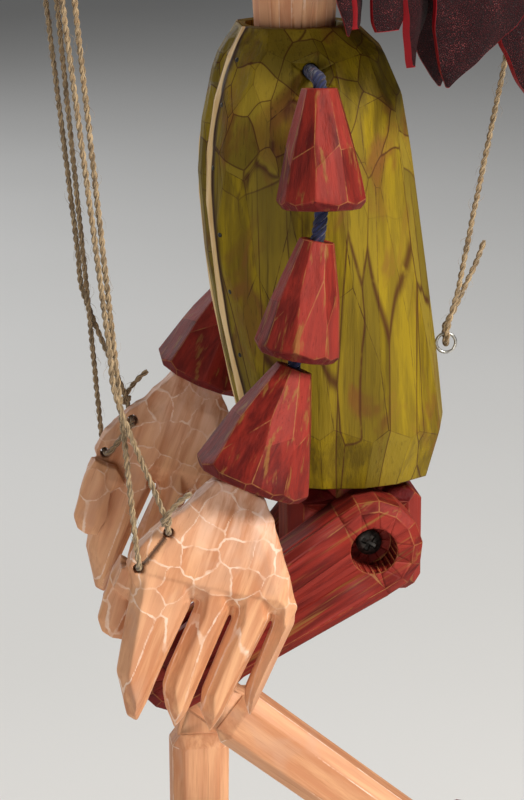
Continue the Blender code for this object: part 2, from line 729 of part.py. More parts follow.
def screw_eye(name, seat, outward, stem, parent, matrix=Matrix()):
    """A ring of wire on a shank that is screwed in at its seat."""
    outward = Vector(outward)
    centre = Vector(seat) + outward * (stem + EYE_RING_RADIUS)
    shank = turned(
        Vector(seat) - outward * EYE_SHANK, centre - outward * EYE_RING_RADIUS, EYE_WIRE_RADIUS, sides=8
    )
    made = piece(name, shank, "zinc", parent, matrix)
    across = outward.cross(Vector((0, 0, 1))).normalized()
    up = across.cross(outward)
    ring = bmesh.new()
    loops = []
    for step in range(EYE_RING_STEPS):
        turn = math.tau * (step + 0.5) / EYE_RING_STEPS
        radial = outward * math.cos(turn) + up * math.sin(turn)
        loop = []
        for side in range(EYE_WIRE_SIDES):
            lean = math.tau * side / EYE_WIRE_SIDES
            off = (radial * math.cos(lean) + across * math.sin(lean)) * EYE_WIRE_RADIUS
            loop.append(ring.verts.new(centre + radial * EYE_RING_RADIUS + off))
        loops.append(loop)
    for one, two in zip(loops, loops[1:] + loops[:1]):
        for side in range(EYE_WIRE_SIDES):
            following = (side + 1) % EYE_WIRE_SIDES
            ring.faces.new((one[side], one[following], two[following], two[side]))
    combine(made, [piece("ring", ring, None, parent, matrix)], "UNION")
    return centre


back_eye_seat = (0, back_eye_y + GAP, BACK_EYE_HEIGHT)
back_eye = screw_eye("back_screw_eye", back_eye_seat, (0, 1, 0), BACK_EYE_STEM, figure)


# Neck, head and what is set in it
nod = empty("nod", figure, (0, NECK_Y, NOD_HEIGHT))
to_nod = at_nod.inverted()


def on_head(name, bm, finish_name):
    """A piece that nods with the head, given in the figure's frame."""
    return piece(name, bm, finish_name, nod, to_nod)


def head_radius(share):
    """How wide the head is, from 0 to 1, at a share of its height: an egg, narrower at the chin."""
    level = 2 * share - 1
    egg = max(1 - level * level, 0.0) ** 0.5 * (HEAD_WIDEST + HEAD_CROWN_FULLER * level)
    return egg + HEAD_CHIN_FULLER * (1 - share) ** 3


def head_surface(turn, height):
    """A point of the head at a height above the torso's bottom."""
    share = min(max((height - HEAD_BOTTOM) / HEAD_HEIGHT, 0.0), 1.0)
    size = head_radius(share)
    y = HEAD_Y + HEAD_HALF_DEPTH * size * math.sin(turn)
    return Vector((HEAD_HALF_WIDTH * size * math.cos(turn), y, height))


def neck_surface(turn, height):
    """A point of the tapered neck."""
    share = (height - NECK_BOTTOM) / (HEAD_BOTTOM - NECK_BOTTOM)
    radius = NECK_BOTTOM_RADIUS + (NECK_TOP_RADIUS - NECK_BOTTOM_RADIUS) * share
    return Vector((radius * math.cos(turn), NECK_Y + radius * math.sin(turn), height))


neck_rows = ((NECK_BOTTOM + NECK_CUT_INSET, NECK_SIDES, 0.0), (HEAD_BOTTOM - NECK_CUT_INSET, NECK_SIDES, 0.5))
neck_planes = facet_planes(neck_surface, neck_rows, seed=8)
neck_planes += [
    (Vector((0, NECK_Y, NECK_BOTTOM)), Vector((0, 0, -1))),
    (Vector((0, NECK_Y, HEAD_BOTTOM - GAP)), Vector((0, 0, 1))),
]
neck = on_head("neck", convex(neck_planes), "bare_wood")
peg_top = (0, NECK_Y, HEAD_BOTTOM + NECK_PEG_LENGTH)
peg = turned((0, NECK_Y, HEAD_BOTTOM - CUT_PAST), peg_top, NECK_PEG_RADIUS, sides=14)
combine(neck, [on_head("peg", peg, None)], "UNION")
nod_hole = cross_hole(-NECK_BORE_RADIUS, NECK_BORE_RADIUS, NECK_Y, NOD_HEIGHT, NOD_PIN_RADIUS + GAP)
combine(neck, [on_head("nod_hole", nod_hole, None)], "DIFFERENCE")

head_rows = [
    (HEAD_BOTTOM + share * HEAD_HEIGHT, count, 0.5 * (row % 2))
    for row, (share, count) in enumerate(HEAD_FACET_ROWS)
]
head_planes = facet_planes(head_surface, head_rows, seed=12, unevenness=0.1)
head_planes += [
    (Vector((0, HEAD_Y, HEAD_BOTTOM)), Vector((0, 0, -1))),
    (Vector((0, HEAD_Y, HEAD_BOTTOM + HEAD_HEIGHT)), Vector((0, 0, 1))),
]
head = on_head("head", convex(head_planes), "bare_wood")


def head_side(height):
    """How far the side of the head is from its middle at a height."""
    return HEAD_HALF_WIDTH * head_radius((height - HEAD_BOTTOM) / HEAD_HEIGHT)


def comes_out(planes, inside, direction):
    """Where a line from a point inside a carved body comes out through its facets."""
    reach = min(
        (point - inside).dot(normal) / direction.dot(normal)
        for point, normal in planes if direction.dot(normal) > 0
    )
    return inside + direction * reach


def face_point(x, height, sunk):
    """The middle of a ball that is sunk into the face."""
    face = head_surface(-math.pi / 2, height)
    size = (HEAD_Y - face.y) / HEAD_HALF_DEPTH
    depth = HEAD_HALF_DEPTH * (size * size - (x / HEAD_HALF_WIDTH) ** 2) ** 0.5
    return Vector((x, HEAD_Y - depth + sunk, height))


nose_at = face_point(0, NOSE_HEIGHT, -NOSE_RADIUS + NOSE_SUNK)
on_head("nose", ball(nose_at, NOSE_RADIUS), "red_paint")
peg_hole = turned(
    (0, NECK_Y, HEAD_BOTTOM - CUT_PAST), Vector(peg_top) + Vector((0, 0, GAP)),
    NECK_PEG_RADIUS + GAP * 1.5, sides=14,
)
head_eyes, ears = {}, []
lower, upper = HEAD_EYE_HEIGHT - HEAD_FEEL, HEAD_EYE_HEIGHT + HEAD_FEEL
head_eye_rise = (head_side(lower) - head_side(upper)) / (upper - lower)
head_cuts = [peg_hole, ball(nose_at, NOSE_RADIUS + GAP)]
for side_name, side in SIDES.items():
    eye_at = face_point(side * EYE_X, EYE_HEIGHT, EYE_SUNK)
    on_head(f"{side_name}_eye", ball(eye_at, EYE_RADIUS), "black_bead")
    head_cuts.append(ball(eye_at, EYE_RADIUS + GAP))
    ear_face = side * head_side(EAR_HEIGHT)
    outline = []
    for corner in range(EAR_SIDES):
        turn = math.tau * corner / EAR_SIDES
        outline.append((EAR_DEEP / 2 * math.cos(turn), EAR_LONG / 2 * math.sin(turn)))
    ear = convex(slab_planes(outline, EAR_OUT, EAR_OUT / 3, EAR_DEEP / 3))
    bmesh.ops.translate(ear, verts=ear.verts[:], vec=(ear_face, HEAD_Y - EAR_FORWARD, EAR_HEIGHT))
    ears.append(on_head("ear", ear, None))
    outward = Vector((side, 0, head_eye_rise)).normalized()
    under = Vector((side * head_side(HEAD_EYE_HEIGHT), HEAD_Y + HEAD_EYE_BACK, HEAD_EYE_HEIGHT))
    seat = comes_out(head_planes, under - outward * EYE_SHANK, outward)
    head_cuts.append(turned(
        seat - outward * (EYE_SHANK + GAP), seat + outward * CUT_PAST, EYE_WIRE_RADIUS + GAP, sides=8
    ))
    eye_name = f"{side_name}_head_screw_eye"
    head_eyes[side_name] = screw_eye(eye_name, seat + outward * GAP, outward, HEAD_EYE_STEM, nod, to_nod)
combine(head, ears, "UNION")
combine(head, [on_head("head_cut", cut, None) for cut in head_cuts], "DIFFERENCE")


# Leather locks round the back of the head
def lock_spine(turn, tip_distance, tip_height, share):
    """A point of a lock's middle: along the head first, then flaring to the tip."""
    height = LOCK_TOP + (tip_height - LOCK_TOP) * share
    level = max(height, LOCK_LEAVES_HEAD)
    size = head_radius((level - HEAD_BOTTOM) / HEAD_HEIGHT)
    depth = ((math.sin(turn) / HEAD_HALF_WIDTH) ** 2 + (math.cos(turn) / HEAD_HALF_DEPTH) ** 2) ** -0.5
    distance = depth * size + LOCK_OFF_HEAD + LOCK_THICKNESS / 2
    distance += (tip_distance - distance) * hanging(tip_height, share)
    return Vector((math.sin(turn) * distance, HEAD_Y + math.cos(turn) * distance, height))


def hanging(tip_height, share):
    """How far along its free length a point of a lock is, from 0 where it leaves the head to 1 at its tip."""
    height = LOCK_TOP + (tip_height - LOCK_TOP) * share
    return max(LOCK_LEAVES_HEAD - height, 0.0) / (LOCK_LEAVES_HEAD - tip_height)


def lock(name, degrees, tip_distance, tip_height, width, twist):
    """A pointed strip of thick leather that twists as it hangs."""
    turn = math.radians(degrees)
    tangent = math.tan(math.radians(LOCK_PITCH / 2))
    front = math.copysign(1, degrees)
    rings = []
    for step in range(LOCK_STEPS + 1):
        share = step / LOCK_STEPS
        spine = lock_spine(turn, tip_distance, tip_height, share)
        ahead = lock_spine(turn, tip_distance, tip_height, min(share + FEEL_TURN, 1))
        behind = lock_spine(turn, tip_distance, tip_height, max(share - FEEL_TURN, 0))
        twisted = math.radians(twist) * hanging(tip_height, share)
        facing = turn + twisted
        across = Vector((math.cos(facing), -math.sin(facing), 0))
        outward = across.cross(ahead - behind).normalized()
        distance = math.hypot(spine.x, spine.y - HEAD_Y) - LOCK_THICKNESS
        turned_in = abs(twisted)
        room = distance * tangent / (math.cos(turned_in) + math.sin(turned_in) * tangent) - GAP
        narrowing = min((1 - share) / LOCK_POINT, 1)
        half = min(width / 2, room)
        lean = across * front * half * LOCK_LEAN * (1 - narrowing)
        half *= LOCK_BLUNT + (1 - LOCK_BLUNT) * narrowing
        thick = outward * LOCK_THICKNESS / 2
        rings.append([
            spine + lean + across * reach * half + thick * face
            for reach, face in ((1, 1), (-1, 1), (-1, -1), (1, -1))
        ])
    on_head(name, lofted(rings), "leather")


for number, shape in enumerate(LOCKS, 1):
    lock(f"hair_lock_{number}", LOCK_PITCH * ((len(LOCKS) + 1) / 2 - number), *shape)


# Arms
def sleeve(name, length, top_radius, bottom_radius, drop, seed, parent, matrix):
    """A carved cone whose top lies a drop below its joint, bored for its cord."""
    def surface(turn, height):
        share = (-drop - height) / length
        radius = top_radius + (bottom_radius - top_radius) * (share + SLEEVE_BULGE * share * (1 - share) * 4)
        return Vector((radius * math.cos(turn), radius * math.sin(turn), height))

    rows = [(-drop - share * length, SLEEVE_SIDES, phase) for share, phase in SLEEVE_CUTS]
    planes = facet_planes(surface, rows, seed)
    bottom = Vector((0, 0, -drop - length))
    planes += [(Vector((0, 0, -drop)), Vector((0, 0, 1))), (bottom, Vector((0, 0, -1)))]
    for cut in range(SLEEVE_HEM_SIDES):
        turn = math.tau * cut / SLEEVE_HEM_SIDES
        outward = Vector((math.cos(turn), math.sin(turn), 0))
        hem = outward * bottom_radius + bottom + Vector((0, 0, SLEEVE_HEM * length))
        planes.append((hem, outward - Vector((0, 0, SLEEVE_HEM_SLOPE))))
    made = piece(name, convex(planes), "red_stain", parent, matrix)
    bore = turned((0, 0, GAP), bottom - Vector((0, 0, GAP)), CORD_RADIUS + GAP, sides=12)
    return combine(made, [piece("bore", bore, None, parent, matrix)], "DIFFERENCE")


def arm_cord(name, length, parent, matrix, round_at_end=False):
    """The stretch of cord in a sleeve, with a round end at the joint above it."""
    arc = [math.radians(turn) for turn in CORD_END_TURNS]
    profile = [(CORD_RADIUS * math.cos(turn), CORD_RADIUS * math.sin(turn)) for turn in arc]
    if round_at_end:
        profile += [(radius, -length - rise) for radius, rise in reversed(profile)]
    else:
        profile.append((CORD_RADIUS, -length))
    turns = [math.tau * side / CORD_SIDES for side in range(CORD_SIDES)]
    rings = [
        [(radius * math.cos(turn), radius * math.sin(turn), z) for turn in turns] for radius, z in profile
    ]
    return piece(name, lofted(rings), "blue_cord", parent, matrix)


def hand_solid(name, side, parent, matrix):
    """A flat carved hand with four fingers, a thumb and two string holes."""
    def flat(outline, half, edge, slope, inward=0.0):
        bm = convex(slab_planes([(y * MM, z * MM) for y, z in outline], half, half * edge, half * slope))
        bmesh.ops.translate(bm, verts=bm.verts[:], vec=(-inward, 0, 0))
        bmesh.ops.scale(bm, verts=bm.verts[:], vec=(side, 1, 1))
        return piece("carving", bm, None, parent, matrix)

    made = flat(PALM, PALM_HALF_THICKNESS, PALM_EDGE, PALM_SLOPE)
    made.name = name
    made.data.materials.append(finish("bare_wood"))
    outlines = FINGERS + KNUCKLES
    parts = [flat(outline, FINGER_HALF_THICKNESS, FINGER_EDGE, FINGER_SLOPE) for outline in outlines]
    root = (THUMB_INWARD + THUMB_HALF_THICKNESS) / 2
    parts.append(flat(THUMB, THUMB_HALF_THICKNESS, THUMB_EDGE, THUMB_SLOPE, THUMB_INWARD))
    parts.append(flat(THUMB_ROOT, root, THUMB_ROOT_EDGE, THUMB_ROOT_SLOPE, root))
    combine(made, parts, "UNION")
    cuts = [ball((0, 0, 0), CORD_RADIUS + GAP, CORD_SIDES)]
    reach = PALM_HALF_THICKNESS + THUMB_INWARD
    cuts += [cross_hole(-reach, reach, y * MM, z * MM, STRING_HOLE_RADIUS) for y, z in STRING_HOLES]
    return combine(made, [piece("hand_cut", cut, None, parent, matrix) for cut in cuts], "DIFFERENCE")


wrists = {}
for side_name, side in SIDES.items():
    inner, outer = side * SHOULDER_CORD_INSIDE, side * (SHOULDER_X - CORD_RADIUS - GAP)
    stub = cross_hole(inner, outer, SHOULDER_Y, SHOULDER_HEIGHT, CORD_RADIUS, CORD_SIDES)
    piece(f"{side_name}_shoulder_cord", stub, "blue_cord", figure)
    joint = Vector((side * SHOULDER_X, SHOULDER_Y, SHOULDER_HEIGHT))
    for index, sleeve_name in enumerate(SLEEVE_NAMES):
        length, link = SLEEVE_LENGTHS[index], SLEEVE_LINKS[index]
        tilt = Matrix.Rotation(-math.radians(ARM_TILTS[side_name][index]), 4, "X")
        splay = Matrix.Rotation(-side * math.radians(SLEEVE_SPLAY[index]), 4, "Y")
        at_joint = Matrix.Translation(joint) @ tilt @ splay
        radii = SLEEVE_TOP_RADII[index], SLEEVE_BOTTOM_RADII[index]
        seed = SLEEVE_SEEDS[side_name] + index
        sleeve(f"{side_name}_{sleeve_name}", length, *radii, link, seed, figure, at_joint)
        to_next = link + length + CORD_RADIUS + GAP
        last = index == len(SLEEVE_NAMES) - 1
        cord_length = to_next if last else link + length
        arm_cord(f"{side_name}_{sleeve_name}_cord", cord_length, figure, at_joint, last)
        joint = at_joint @ Vector((0, 0, -to_next))
    wrists[side_name] = joint
    hand_solid(f"{side_name}_hand", side, figure, Matrix.Translation(joint))


# Pelvis and legs
block = box_planes(
    (-PELVIS_HALF_WIDTH, PELVIS_FRONT, PELVIS_BOTTOM),
    (PELVIS_HALF_WIDTH, PELVIS_BACK, PELVIS_TOP), PELVIS_CHAMFER,
)
tenon = box_planes(
    (-TENON_HALF_WIDTH, WAIST_Y - TENON_HALF_DEPTH, PELVIS_TOP - PELVIS_CHAMFER - CUT_PAST),
    (TENON_HALF_WIDTH, WAIST_Y + TENON_HALF_DEPTH, TENON_TOP), TENON_CHAMFER,
)
pelvis = piece("pelvis", convex(block), "red_stain", figure)
combine(pelvis, [piece("tenon", convex(tenon), None, figure)], "UNION")
inner_face = PELVIS_HALF_WIDTH + GAP
screw_depth = PELVIS_HALF_WIDTH - HIP_SCREW_IN_PELVIS
past = PELVIS_HALF_WIDTH + CUT_PAST
pelvis_cuts = [cross_hole(-past, past, WAIST_Y, WAIST_HEIGHT, WAIST_PIN_RADIUS + GAP)]
for side in SIDES.values():
    inner, outer = side * (screw_depth - GAP), side * past
    pelvis_cuts.append(cross_hole(inner, outer, HIP_Y, HIP_HEIGHT, HIP_SCREW_RADIUS + GAP))
combine(pelvis, [piece("pelvis_cut", cut, None, figure) for cut in pelvis_cuts], "DIFFERENCE")
pelvis.data.transform(at_waist.inverted())
pelvis.matrix_local = at_waist


def cut_away(whole, cutters, matrix):
    """Takes cutters that are given in a piece's own frame out of it."""
    combine(whole, [piece("cutter", cutter, None, whole.parent, matrix) for cutter in cutters], "DIFFERENCE")


def thigh(side_name, side, middle, at_hip):
    """A thigh with its counterbored screw hole and its knee slot, and the screw that holds it."""
    half = THIGH_THICKNESS / 2
    outline = rounded_bar(THIGH_HIP_RADIUS, THIGH_KNEE_RADIUS, THIGH_LENGTH)
    planes = slab_planes(outline, half, half * THIGH_EDGE, half * THIGH_SLOPE)
    made = piece(f"{side_name}_thigh", convex(planes), "red_stain", figure, at_hip)
    floor = side * (half - HIP_COUNTERBORE_DEPTH)
    beyond = side * (half + GAP)
    knee_z = -THIGH_LENGTH
    past_edge = THIGH_KNEE_RADIUS + CUT_PAST
    cut_away(made, [
        cross_hole(-beyond, beyond, 0, 0, HIP_SCREW_RADIUS + GAP),
        cross_hole(floor, beyond, 0, 0, HIP_COUNTERBORE_RADIUS, 24),
        convex(box_planes(
            (-FORK_HALF, -past_edge * 2, knee_z - past_edge),
            (FORK_HALF, past_edge * 2, knee_z + THIGH_SLOT_DEPTH),
        )),
        cross_hole(-beyond, beyond, 0, knee_z, LEG_PIN_RADIUS + GAP),
    ], at_hip)
    head_low = floor + side * GAP
    head_high = head_low + side * HIP_SCREW_HEAD
    shaft = cross_hole(side * screw_depth - middle, (head_low + head_high) / 2, 0, 0, HIP_SCREW_RADIUS)
    screw = piece(f"{side_name}_hip_screw", shaft, "dark_screw", figure, at_hip)
    top_radius = HIP_SCREW_HEAD_RADIUS * HIP_SCREW_HEAD_TOP
    screw_head = turned((head_low, 0, 0), (head_high, 0, 0), HIP_SCREW_HEAD_RADIUS, top_radius)
    combine(screw, [piece("screw_head", screw_head, None, figure, at_hip)], "UNION")


def shin(side_name, at_knee):
    """A shin: a prism with a tongue at each end."""
    tongue = TONGUE_THICKNESS / 2
    half = SHIN_THICKNESS / 2
    low = SHIN_LENGTH - ANKLE_SHOULDER
    corners = (
        (SHIN_TOP_SHARE, -KNEE_SHOULDER), (1, -KNEE_SHOULDER - KNEE_SHOULDER_CUT), (SHIN_FOOT_SHARE, -low),
    )
    prism = [(side * SHIN_HALF_WIDTH * share, z) for side in (-1, 1) for share, z in corners]
    upper = rounded_bar(TONGUE_HALF_WIDTH, TONGUE_HALF_WIDTH, KNEE_SHOULDER + TONGUE_ROOT)
    lower = rounded_bar(TONGUE_HALF_WIDTH, TONGUE_HALF_WIDTH * SHIN_FOOT_SHARE, ANKLE_SHOULDER + TONGUE_ROOT)
    lower = [(y, z - low + TONGUE_ROOT) for y, z in lower]
    planes = slab_planes(prism, half, half * SHIN_EDGE, half * SHIN_SLOPE)
    made = piece(f"{side_name}_shin", convex(planes), "bare_wood", figure, at_knee)
    tongues = []
    for outline in (upper, lower):
        planes = slab_planes(outline, tongue, tongue * TONGUE_EDGE, tongue * TONGUE_SLOPE)
        tongues.append(piece("tongue", convex(planes), None, figure, at_knee))
    combine(made, tongues, "UNION")
    holes = [cross_hole(-half, half, 0, z, LEG_PIN_RADIUS + GAP) for z in (0, -SHIN_LENGTH)]
    cut_away(made, holes, at_knee)


def shoe(side_name, at_ankle):
    """A shoe: a broad round toe and a heel block, slotted for the shin's tongue."""
    made = piece(f"{side_name}_shoe", convex(shoe_planes()), "red_stain", figure, at_ankle)
    heel = convex(box_planes(
        (-SHOE_HEEL_HALF_WIDTH, -SHOE_HEEL_FRONT, -SHOE_SOLE), (SHOE_HEEL_HALF_WIDTH, SHOE_HEEL, SHOE_TOP),
        SHOE_HEEL_CHAMFER,
    ))
    combine(made, [piece("heel", heel, None, figure, at_ankle)], "UNION")
    cut_away(made, [
        convex(box_planes(
            (-FORK_HALF, -SHOE_LENGTH, -TONGUE_HALF_WIDTH - GAP * 2), (FORK_HALF, SHOE_LENGTH, SHOE_LENGTH)
        )),
        cross_hole(-SHOE_HALF_WIDTH, SHOE_HALF_WIDTH, 0, 0, LEG_PIN_RADIUS + GAP),
    ], at_ankle)


def shoe_planes():
    """The toe of a shoe, broad and round with a flat sole."""
    middle = SHOE_HEEL - SHOE_LENGTH / 2
    depth = SHOE_SOLE + SHOE_TOE_TOP

    def surface(turn, height):
        share = (height + SHOE_SOLE) / depth
        size = max(1 - SHOE_ROUNDING * share * share, FEEL_TURN) ** 0.5
        y = middle + SHOE_LENGTH / 2 * size * math.sin(turn)
        return Vector((SHOE_HALF_WIDTH * size * math.cos(turn), y, height))

    rows = [(depth * share - SHOE_SOLE, count, phase) for share, count, phase in SHOE_CUTS]
    planes = facet_planes(surface, rows, seed=33)
    return planes + [
        (Vector((0, 0, -SHOE_SOLE)), Vector((0, 0, -1))),
        (Vector((0, 0, SHOE_TOE_TOP)), Vector((0, 0, 1))),
    ]


FORK_HALF = TONGUE_THICKNESS / 2 + GAP
for side_name, side in SIDES.items():
    thigh_turn, shin_turn, shoe_turn = (
        Matrix.Rotation(-math.radians(angle), 4, "X") for angle in LEG_ANGLES[side_name]
    )
    middle = side * (inner_face + THIGH_THICKNESS / 2)
    at_hip = Matrix.Translation((middle, HIP_Y, HIP_HEIGHT)) @ thigh_turn
    knee = Matrix.Translation(at_hip @ Vector((0, 0, -THIGH_LENGTH)))
    at_knee = knee @ shin_turn
    at_ankle = Matrix.Translation(at_knee @ Vector((0, 0, -SHIN_LENGTH))) @ shoe_turn
    thigh(side_name, side, middle, at_hip)
    shin(side_name, at_knee)
    shoe(side_name, at_ankle)
    knee_half, ankle_half = THIGH_THICKNESS / 2 - PIN_SHY, SHOE_HEEL_HALF_WIDTH - PIN_SHY
    cross_pin(f"{side_name}_knee_pin", knee_half, LEG_PIN_RADIUS, figure, knee @ thigh_turn)
    cross_pin(f"{side_name}_ankle_pin", ankle_half, LEG_PIN_RADIUS, figure, at_ankle)


# Strings
def through_ring(centre, across, up):
    """The route of a string through a screw eye, from above on one side to above on the other."""
    return [centre + (across * beside + up * above) * EYE_RING_RADIUS for beside, above in RING_ROUTE]


def back_string():
    """From its knot on the main bar down through the back eye, with a free tail."""
    across, back, up = Vector((1, 0, 0)), Vector((0, 1, 0)), Vector((0, 0, 1))
    top = Vector((0, BACK_STRING_Y, 0))
    eye = in_figure(*back_eye)
    lean = (top - eye).normalized()

    def spot(along, aside, behind):
        return eye + (lean * along + across * aside + back * behind) * MM

    down = [top + up * KNOT_RISE, top - up * BAR_THICKNESS / 2, top - up * (BAR_THICKNESS + CUT_PAST)]
    down += [spot(*place) for place in BACK_STRING_RUN]
    tail = [spot(*place) for place in BACK_STRING_TAIL]
    string("back_string", down + through_ring(eye, across, up) + tail, control)


def head_string(side_name, side):
    """From its knot on the head bar down through the eye above an ear, with a short tail."""
    forward, up = Vector((0, -1, 0)), Vector((0, 0, 1))
    top = Vector((side * HEAD_STRING_X, 0, CROSSBAR_TOP))
    eye = in_figure(*head_eyes[side_name])
    lean = (top - eye).normalized()
    ring_up = Vector((-side * head_eye_rise, 0, 1)).normalized()
    below = top - up * (CROSSBAR_THICKNESS + CUT_PAST)
    down = [top + up * KNOT_RISE, top - up * CROSSBAR_THICKNESS / 2, below]
    down += [eye + (lean * along + forward * ahead) * MM for along, ahead in HEAD_STRING_RUN]
    tail = [eye + (lean * along + forward * ahead) * MM for along, ahead in HEAD_STRING_TAIL]
    string(f"{side_name}_head_string", down + through_ring(eye, forward, ring_up) + tail, control)


def hand_string(side_name, side):
    """From a knot on the hand bar down through both holes of a hand and up again: one string, two strands."""
    up = Vector((0, 0, 1))
    wrist = in_figure(*wrists[side_name])

    def at_hand(x, y, z):
        return wrist + Vector((side * x, y, z)) * MM

    strands = []
    for spread, meeting in zip((-HAND_STRAND_SPREAD, HAND_STRAND_SPREAD), HAND_STRANDS_MEET):
        top = Vector((side * HAND_STRING_X, -HAND_BAR_FORWARD + spread, CROSSBAR_TOP))
        low, meet = top - up * (CROSSBAR_THICKNESS + CUT_PAST), at_hand(*meeting)
        strand = [top + up * KNOT_RISE, top - up * CROSSBAR_THICKNESS / 2]
        strands.append(strand + [low.lerp(meet, share) for share in HAND_STRING_SHARES])
    loop = [at_hand(*spot) for spot in HAND_LOOP]
    string(f"{side_name}_hand_string", strands[0] + loop + strands[1][::-1], control)


back_string()
for side_name, side in SIDES.items():
    head_string(side_name, side)
    hand_string(side_name, side)
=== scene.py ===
import json
import math
import random

import bmesh
import bpy
from mathutils import Matrix, Vector, noise
from mathutils.bvhtree import BVHTree
from mathutils.kdtree import KDTree


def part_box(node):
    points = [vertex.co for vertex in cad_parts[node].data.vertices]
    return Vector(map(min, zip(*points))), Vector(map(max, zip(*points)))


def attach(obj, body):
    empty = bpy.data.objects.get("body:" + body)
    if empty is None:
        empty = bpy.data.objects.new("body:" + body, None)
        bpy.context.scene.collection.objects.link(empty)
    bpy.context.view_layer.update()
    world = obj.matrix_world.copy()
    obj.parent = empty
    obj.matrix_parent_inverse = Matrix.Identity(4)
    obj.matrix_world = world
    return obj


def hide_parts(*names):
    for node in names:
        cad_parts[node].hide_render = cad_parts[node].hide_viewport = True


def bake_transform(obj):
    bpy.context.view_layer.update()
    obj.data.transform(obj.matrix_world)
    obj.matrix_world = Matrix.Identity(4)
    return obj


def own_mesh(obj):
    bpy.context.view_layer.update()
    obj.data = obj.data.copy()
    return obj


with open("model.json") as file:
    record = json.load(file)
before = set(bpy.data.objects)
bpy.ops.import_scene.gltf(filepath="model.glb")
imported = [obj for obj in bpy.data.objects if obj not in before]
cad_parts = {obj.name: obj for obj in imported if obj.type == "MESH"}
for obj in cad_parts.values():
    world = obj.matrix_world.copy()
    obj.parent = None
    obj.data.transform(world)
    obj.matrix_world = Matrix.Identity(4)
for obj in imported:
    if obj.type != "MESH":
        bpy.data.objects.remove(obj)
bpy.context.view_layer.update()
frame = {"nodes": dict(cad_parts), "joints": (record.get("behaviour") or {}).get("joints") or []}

# Lengths are in metres, apart from tables that say millimetres
MM = 0.001
SIDES = {"left": 1, "right": -1}
UP = Vector((0, 0, 1))
FORWARD = Vector((0, -1, 0))
PIVOTS = {joint["name"]: Vector(joint["pos_m"]) for joint in frame["joints"]}
scene = bpy.context.scene
# One seed for the draws and the noise, so that every run gives the same result
SEED = 7
dice = random.Random(SEED)
noise.seed_set(SEED)

# Camera and light
LENS = 138.6
SENSOR = 36
NEAREST, FARTHEST = 0.01, 50
VIEW_TURN, VIEW_RISE = 82.5, 13.5
CAMERA_PLACE = Vector((0.77124, -0.10979, -0.13111))
FIGURE_MIDDLE = Vector((0, 0, -0.3))
HANDS_MIDDLE = Vector((0, -0.03, -0.38))
STUDIO_COLOUR = (0.80, 0.82, 0.85, 1)
STUDIO_LEVEL = 0.11
# Each light: what it faces, turn, rise, distance, size, power and colour
LIGHTS = {
    "key": (FIGURE_MIDDLE, 134, 36, 1.6, 0.5, 34, (1.0, 0.96, 0.9)),
    "fill": (FIGURE_MIDDLE, 30, 12, 1.8, 1.0, 1.7, (0.93, 0.96, 1.0)),
    "low": (HANDS_MIDDLE, 70, 2, 1.2, 0.5, 4, (1.0, 0.98, 0.95)),
    "far": (FIGURE_MIDDLE, 305, 24, 1.8, 1.0, 13, (0.97, 0.98, 1.0)),
}


def basis(right, up, back, place):
    """A placing from three directions and a point."""
    turn = Matrix((right, up, back)).transposed().to_4x4()
    return Matrix.Translation(place) @ turn


def looking(azimuth, elevation):
    """Right, up and back directions of a view."""
    round_, rise = math.radians(azimuth), math.radians(elevation)
    back = Vector((math.sin(round_) * math.cos(rise), -math.cos(round_) * math.cos(rise), math.sin(rise)))
    right = Vector((math.cos(round_), math.sin(round_), 0))
    return right, back.cross(right), back


def add_light(name, aim, azimuth, elevation, distance, size, power, colour):
    """A soft square light that faces a point."""
    lamp = bpy.data.lights.new(name, "AREA")
    lamp.size = size
    lamp.energy = power
    lamp.color = colour
    made = bpy.data.objects.new(name, lamp)
    right, up, back = looking(azimuth, elevation)
    made.matrix_world = basis(right, up, back, aim + back * distance)
    scene.collection.objects.link(made)


lens = bpy.data.cameras.new("camera")
lens.lens = LENS
lens.sensor_width = SENSOR
lens.clip_start = NEAREST
lens.clip_end = FARTHEST
camera = bpy.data.objects.new("camera", lens)
camera.matrix_world = basis(*looking(VIEW_TURN, VIEW_RISE), CAMERA_PLACE)
scene.collection.objects.link(camera)
scene.camera = camera
scene.view_settings.view_transform = "Standard"

for name, settings in LIGHTS.items():
    add_light(name, *settings)

world = bpy.data.worlds.new("studio")
world.use_nodes = True
world.node_tree.nodes["Background"].inputs["Color"].default_value = STUDIO_COLOUR
world.node_tree.nodes["Background"].inputs["Strength"].default_value = STUDIO_LEVEL
scene.world = world

